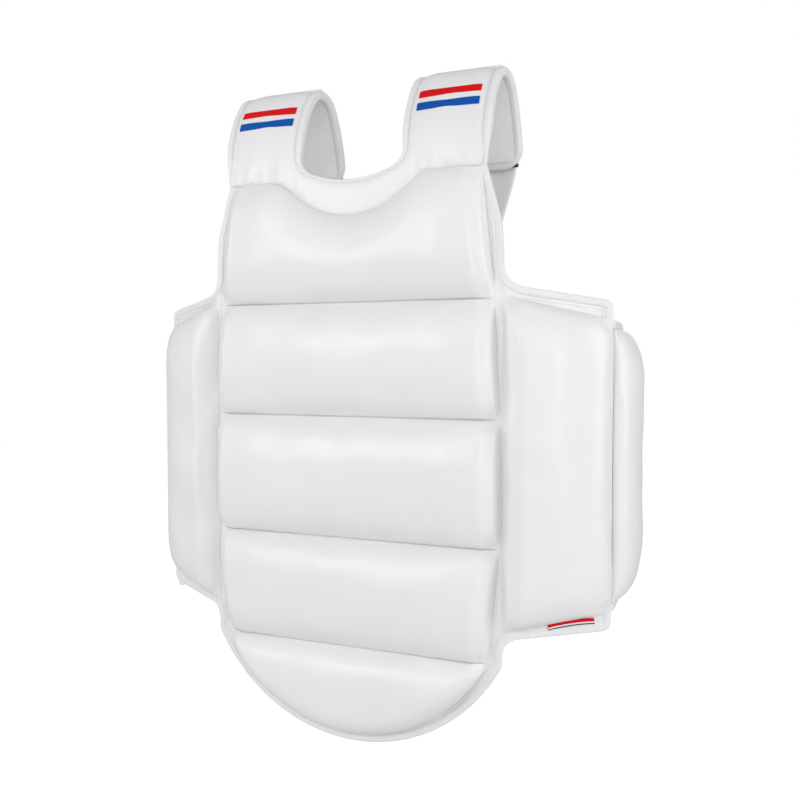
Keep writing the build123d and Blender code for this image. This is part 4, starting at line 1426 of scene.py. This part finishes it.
def build_stage(stage):
    """Pale floor, soft lights and the camera."""
    scene = bpy.context.scene
    floor_z = CAD_BOX[0][2] - stage.floor_drop
    mesh = bpy.data.meshes.new("floor")
    corners = ((-1, -1), (1, -1), (1, 1), (-1, 1))
    mesh.from_pydata([(x * FLOOR_HALF, y * FLOOR_HALF, floor_z) for x, y in corners], [], [(0, 1, 2, 3)])
    floor = bpy.data.objects.new("floor", mesh)
    scene.collection.objects.link(floor)
    paint = bpy.data.materials.new("floor_paint")
    paint.use_nodes = True
    shader = paint.node_tree.nodes["Principled BSDF"]
    shader.inputs["Base Color"].default_value = (FLOOR_SHADE, FLOOR_SHADE, FLOOR_SHADE, 1)
    shader.inputs["Roughness"].default_value = 0.9
    shader.inputs["Emission Color"].default_value = (1, 1, 1, 1)
    seen = node(paint.node_tree, "LightPath").outputs["Is Camera Ray"]
    glow = math_node(paint.node_tree, "MULTIPLY", seen, stage.floor_glow)
    paint.node_tree.links.new(glow, shader.inputs["Emission Strength"])
    mesh.materials.append(paint)
    world = bpy.data.worlds.new("studio")
    world.use_nodes = True
    tree = world.node_tree
    background = tree.nodes["Background"]
    background.inputs["Color"].default_value = (1, 1, 1, 1)
    seen = node(tree, "LightPath").outputs["Is Camera Ray"]
    strength = node(
        tree, "MapRange", [("Value", seen), ("To Min", stage.surround), ("To Max", 1.0)]).outputs[0]
    tree.links.new(strength, background.inputs["Strength"])
    scene.world = world
    scene.view_settings.view_transform = "Standard"
    for name, (place, size, share) in LAMPS.items():
        area_light(name, place, size, stage.key * share)
    lens = bpy.data.cameras.new("camera")
    lens.lens = stage.focal_length
    lens.sensor_width = SENSOR
    camera = bpy.data.objects.new("camera", lens)
    camera.location = CAMERA_PLACE
    camera.rotation_euler = (math.radians(90 - CAMERA_DOWN), 0, math.radians(CAMERA_TURN))
    scene.collection.objects.link(camera)
    scene.camera = camera


# ---- settings ----------------------------------------------------------------------
class ProtectorSizes(bpy.types.PropertyGroup):
    """Shape of the padded cells and of the edges."""

    cell_height: bpy.props.FloatProperty(
        name="Cell height", description="Rise of a full cell over its backing sheet",
        default=high("upper_cover").y - low("upper_cover").y, unit="LENGTH")
    seam_roll: bpy.props.FloatProperty(
        name="Seam roll", description="Width over which a cover rolls down into a level seam",
        default=46 * MM, unit="LENGTH")
    pressure: bpy.props.FloatProperty(
        name="Foam pressure", description="Push of the foam against its cover in the cloth simulation",
        default=1.2)
    slack: bpy.props.FloatProperty(
        name="Cover slack", description="How much larger the cover is cut than its cell, as a share",
        default=0.004, subtype="FACTOR")
    edge: bpy.props.FloatProperty(
        name="Edge tape width", description="Width of the tape folded round each free edge",
        default=7.4 * MM, unit="LENGTH")
    edge_thickness: bpy.props.FloatProperty(
        name="Edge thickness", description="Thickness of the sheet with its edge tape",
        default=4.0 * MM, unit="LENGTH")
    strap_edge: bpy.props.FloatProperty(
        name="Strap edge width", description="Width of the rolled edge of a shoulder strap",
        default=7.6 * MM, unit="LENGTH")
    stitch: bpy.props.FloatProperty(
        name="Stitch spacing", description="Distance from one stitch to the next",
        default=3.4 * MM, unit="LENGTH")


def colour_property(title, text, default):
    """One colour a user may change."""
    return bpy.props.FloatVectorProperty(
        name=title, description=text, subtype="COLOR", size=3, min=0, max=1, default=default)


class ProtectorColours(bpy.types.PropertyGroup):
    """Colours of the covers, tapes and patches."""

    cover: colour_property("Cover", "Coated leather of the padded cells", (0.76, 0.76, 0.775))
    edge: colour_property("Edge tape", "Folded tape and thread", (0.76, 0.76, 0.775))
    lining: colour_property("Lining", "Cloth towards the wearer and the elastics", (0.87, 0.87, 0.875))
    upper_tape: colour_property("Upper stripe", "Upper woven stripe of each strap", (0.68, 0.003, 0.004))
    lower_tape: colour_property("Lower stripe", "Lower woven stripe of each strap", (0.001, 0.08, 0.38))
    label_dark: colour_property("Label", "Dark band of the side label", (0.012, 0.02, 0.06))
    hooks: colour_property("Hooks", "Hook tape and its hem", (0.012, 0.012, 0.014))


class ProtectorStage(bpy.types.PropertyGroup):
    """Floor, lights and lens."""

    floor_drop: bpy.props.FloatProperty(
        name="Floor drop", description="Height of the protector over the floor", default=0.35, unit="LENGTH")
    surround: bpy.props.FloatProperty(
        name="Surround light", description="Light from the even white surround", default=0.47)
    floor_glow: bpy.props.FloatProperty(
        name="Floor glow", description="Added brightness of the floor as the camera sees it", default=0.66)
    key: bpy.props.FloatProperty(
        name="Lamp power", description="Power of the main soft lamp", default=9.8, unit="POWER")
    focal_length: bpy.props.FloatProperty(
        name="Focal length", description="Lens of the camera in millimetres", default=44.74)


# ---- operators ---------------------------------------------------------------------
class PROTECTOR_OT_materials(bpy.types.Operator):
    """Build every leather, cloth, tape and patch finish"""

    bl_idname = "protector.materials"
    bl_label = "Finishes"

    def execute(self, context):
        build_materials(context.scene.protector_colours)
        return {"FINISHED"}


class PROTECTOR_OT_front(bpy.types.Operator):
    """Sew the four padded cells of the front panel"""

    bl_idname = "protector.front"
    bl_label = "Front cells"

    def execute(self, context):
        build_front(context.scene.protector_sizes)
        return {"FINISHED"}


class PROTECTOR_OT_flap(bpy.types.Operator):
    """Sew the half-moon cell of the lower flap"""

    bl_idname = "protector.flap"
    bl_label = "Lower flap"

    def execute(self, context):
        build_flap(context.scene.protector_sizes)
        return {"FINISHED"}


class PROTECTOR_OT_wings(bpy.types.Operator):
    """Sew the cells of the front and rear wings"""

    bl_idname = "protector.wings"
    bl_label = "Wings"

    def execute(self, context):
        build_wings(context.scene.protector_sizes)
        return {"FINISHED"}


class PROTECTOR_OT_backing(bpy.types.Operator):
    """Cut the backing sheets and bind their free edges"""

    bl_idname = "protector.backing"
    bl_label = "Backing and edges"

    def execute(self, context):
        build_backing(context.scene.protector_sizes)
        build_label()
        build_corner_tab()
        return {"FINISHED"}


class PROTECTOR_OT_shoulders(bpy.types.Operator):
    """Sew both shoulder straps with the neck band and their stripes"""

    bl_idname = "protector.shoulders"
    bl_label = "Shoulder straps"

    def execute(self, context):
        for side_name in SIDES:
            build_shoulder(side_name, context.scene.protector_sizes)
        return {"FINISHED"}


class PROTECTOR_OT_belt(bpy.types.Operator):
    """Make the waist elastics with their hooks, loops and pull tab"""

    bl_idname = "protector.belt"
    bl_label = "Waist belt"

    def execute(self, context):
        build_belt()
        return {"FINISHED"}


class PROTECTOR_OT_harness(bpy.types.Operator):
    """Make the rear straps, yoke and belt sleeve"""

    bl_idname = "protector.harness"
    bl_label = "Back harness"

    def execute(self, context):
        build_harness(context.scene.protector_sizes)
        return {"FINISHED"}


class PROTECTOR_OT_stage(bpy.types.Operator):
    """Set the floor, lights and camera"""

    bl_idname = "protector.stage"
    bl_label = "Stage"

    def execute(self, context):
        build_stage(context.scene.protector_stage)
        return {"FINISHED"}


OPERATORS = (
    PROTECTOR_OT_materials, PROTECTOR_OT_stage, PROTECTOR_OT_front, PROTECTOR_OT_flap, PROTECTOR_OT_wings,
    PROTECTOR_OT_backing, PROTECTOR_OT_shoulders, PROTECTOR_OT_belt, PROTECTOR_OT_harness,
)
SETTINGS = {
    "protector_sizes": ProtectorSizes,
    "protector_colours": ProtectorColours,
    "protector_stage": ProtectorStage,
}


class PROTECTOR_PT_panel(bpy.types.Panel):
    """Settings and steps of the chest protector"""

    bl_label = "Chest protector"
    bl_idname = "PROTECTOR_PT_panel"
    bl_space_type = "VIEW_3D"
    bl_region_type = "UI"
    bl_category = "Protector"

    def draw(self, context):
        for setting, group in SETTINGS.items():
            box = self.layout.box()
            for title in group.__annotations__:
                box.prop(getattr(context.scene, setting), title)
        for operator in OPERATORS:
            self.layout.operator(operator.bl_idname)


def register():
    """Make the settings, steps and panel known to Blender."""
    for group in SETTINGS.values():
        bpy.utils.register_class(group)
    for operator in OPERATORS:
        bpy.utils.register_class(operator)
    bpy.utils.register_class(PROTECTOR_PT_panel)
    for setting, group in SETTINGS.items():
        setattr(bpy.types.Scene, setting, bpy.props.PointerProperty(type=group))


def unregister():
    """Remove what register added."""
    for setting in SETTINGS:
        delattr(bpy.types.Scene, setting)
    for made in (PROTECTOR_PT_panel, *OPERATORS, *SETTINGS.values()):
        bpy.utils.unregister_class(made)


def main():
    """Build the whole protector."""
    register()
    for operator in OPERATORS:
        group, name = operator.bl_idname.split(".")
        getattr(getattr(bpy.ops, group), name)()


if __name__ == "__main__":
    main()
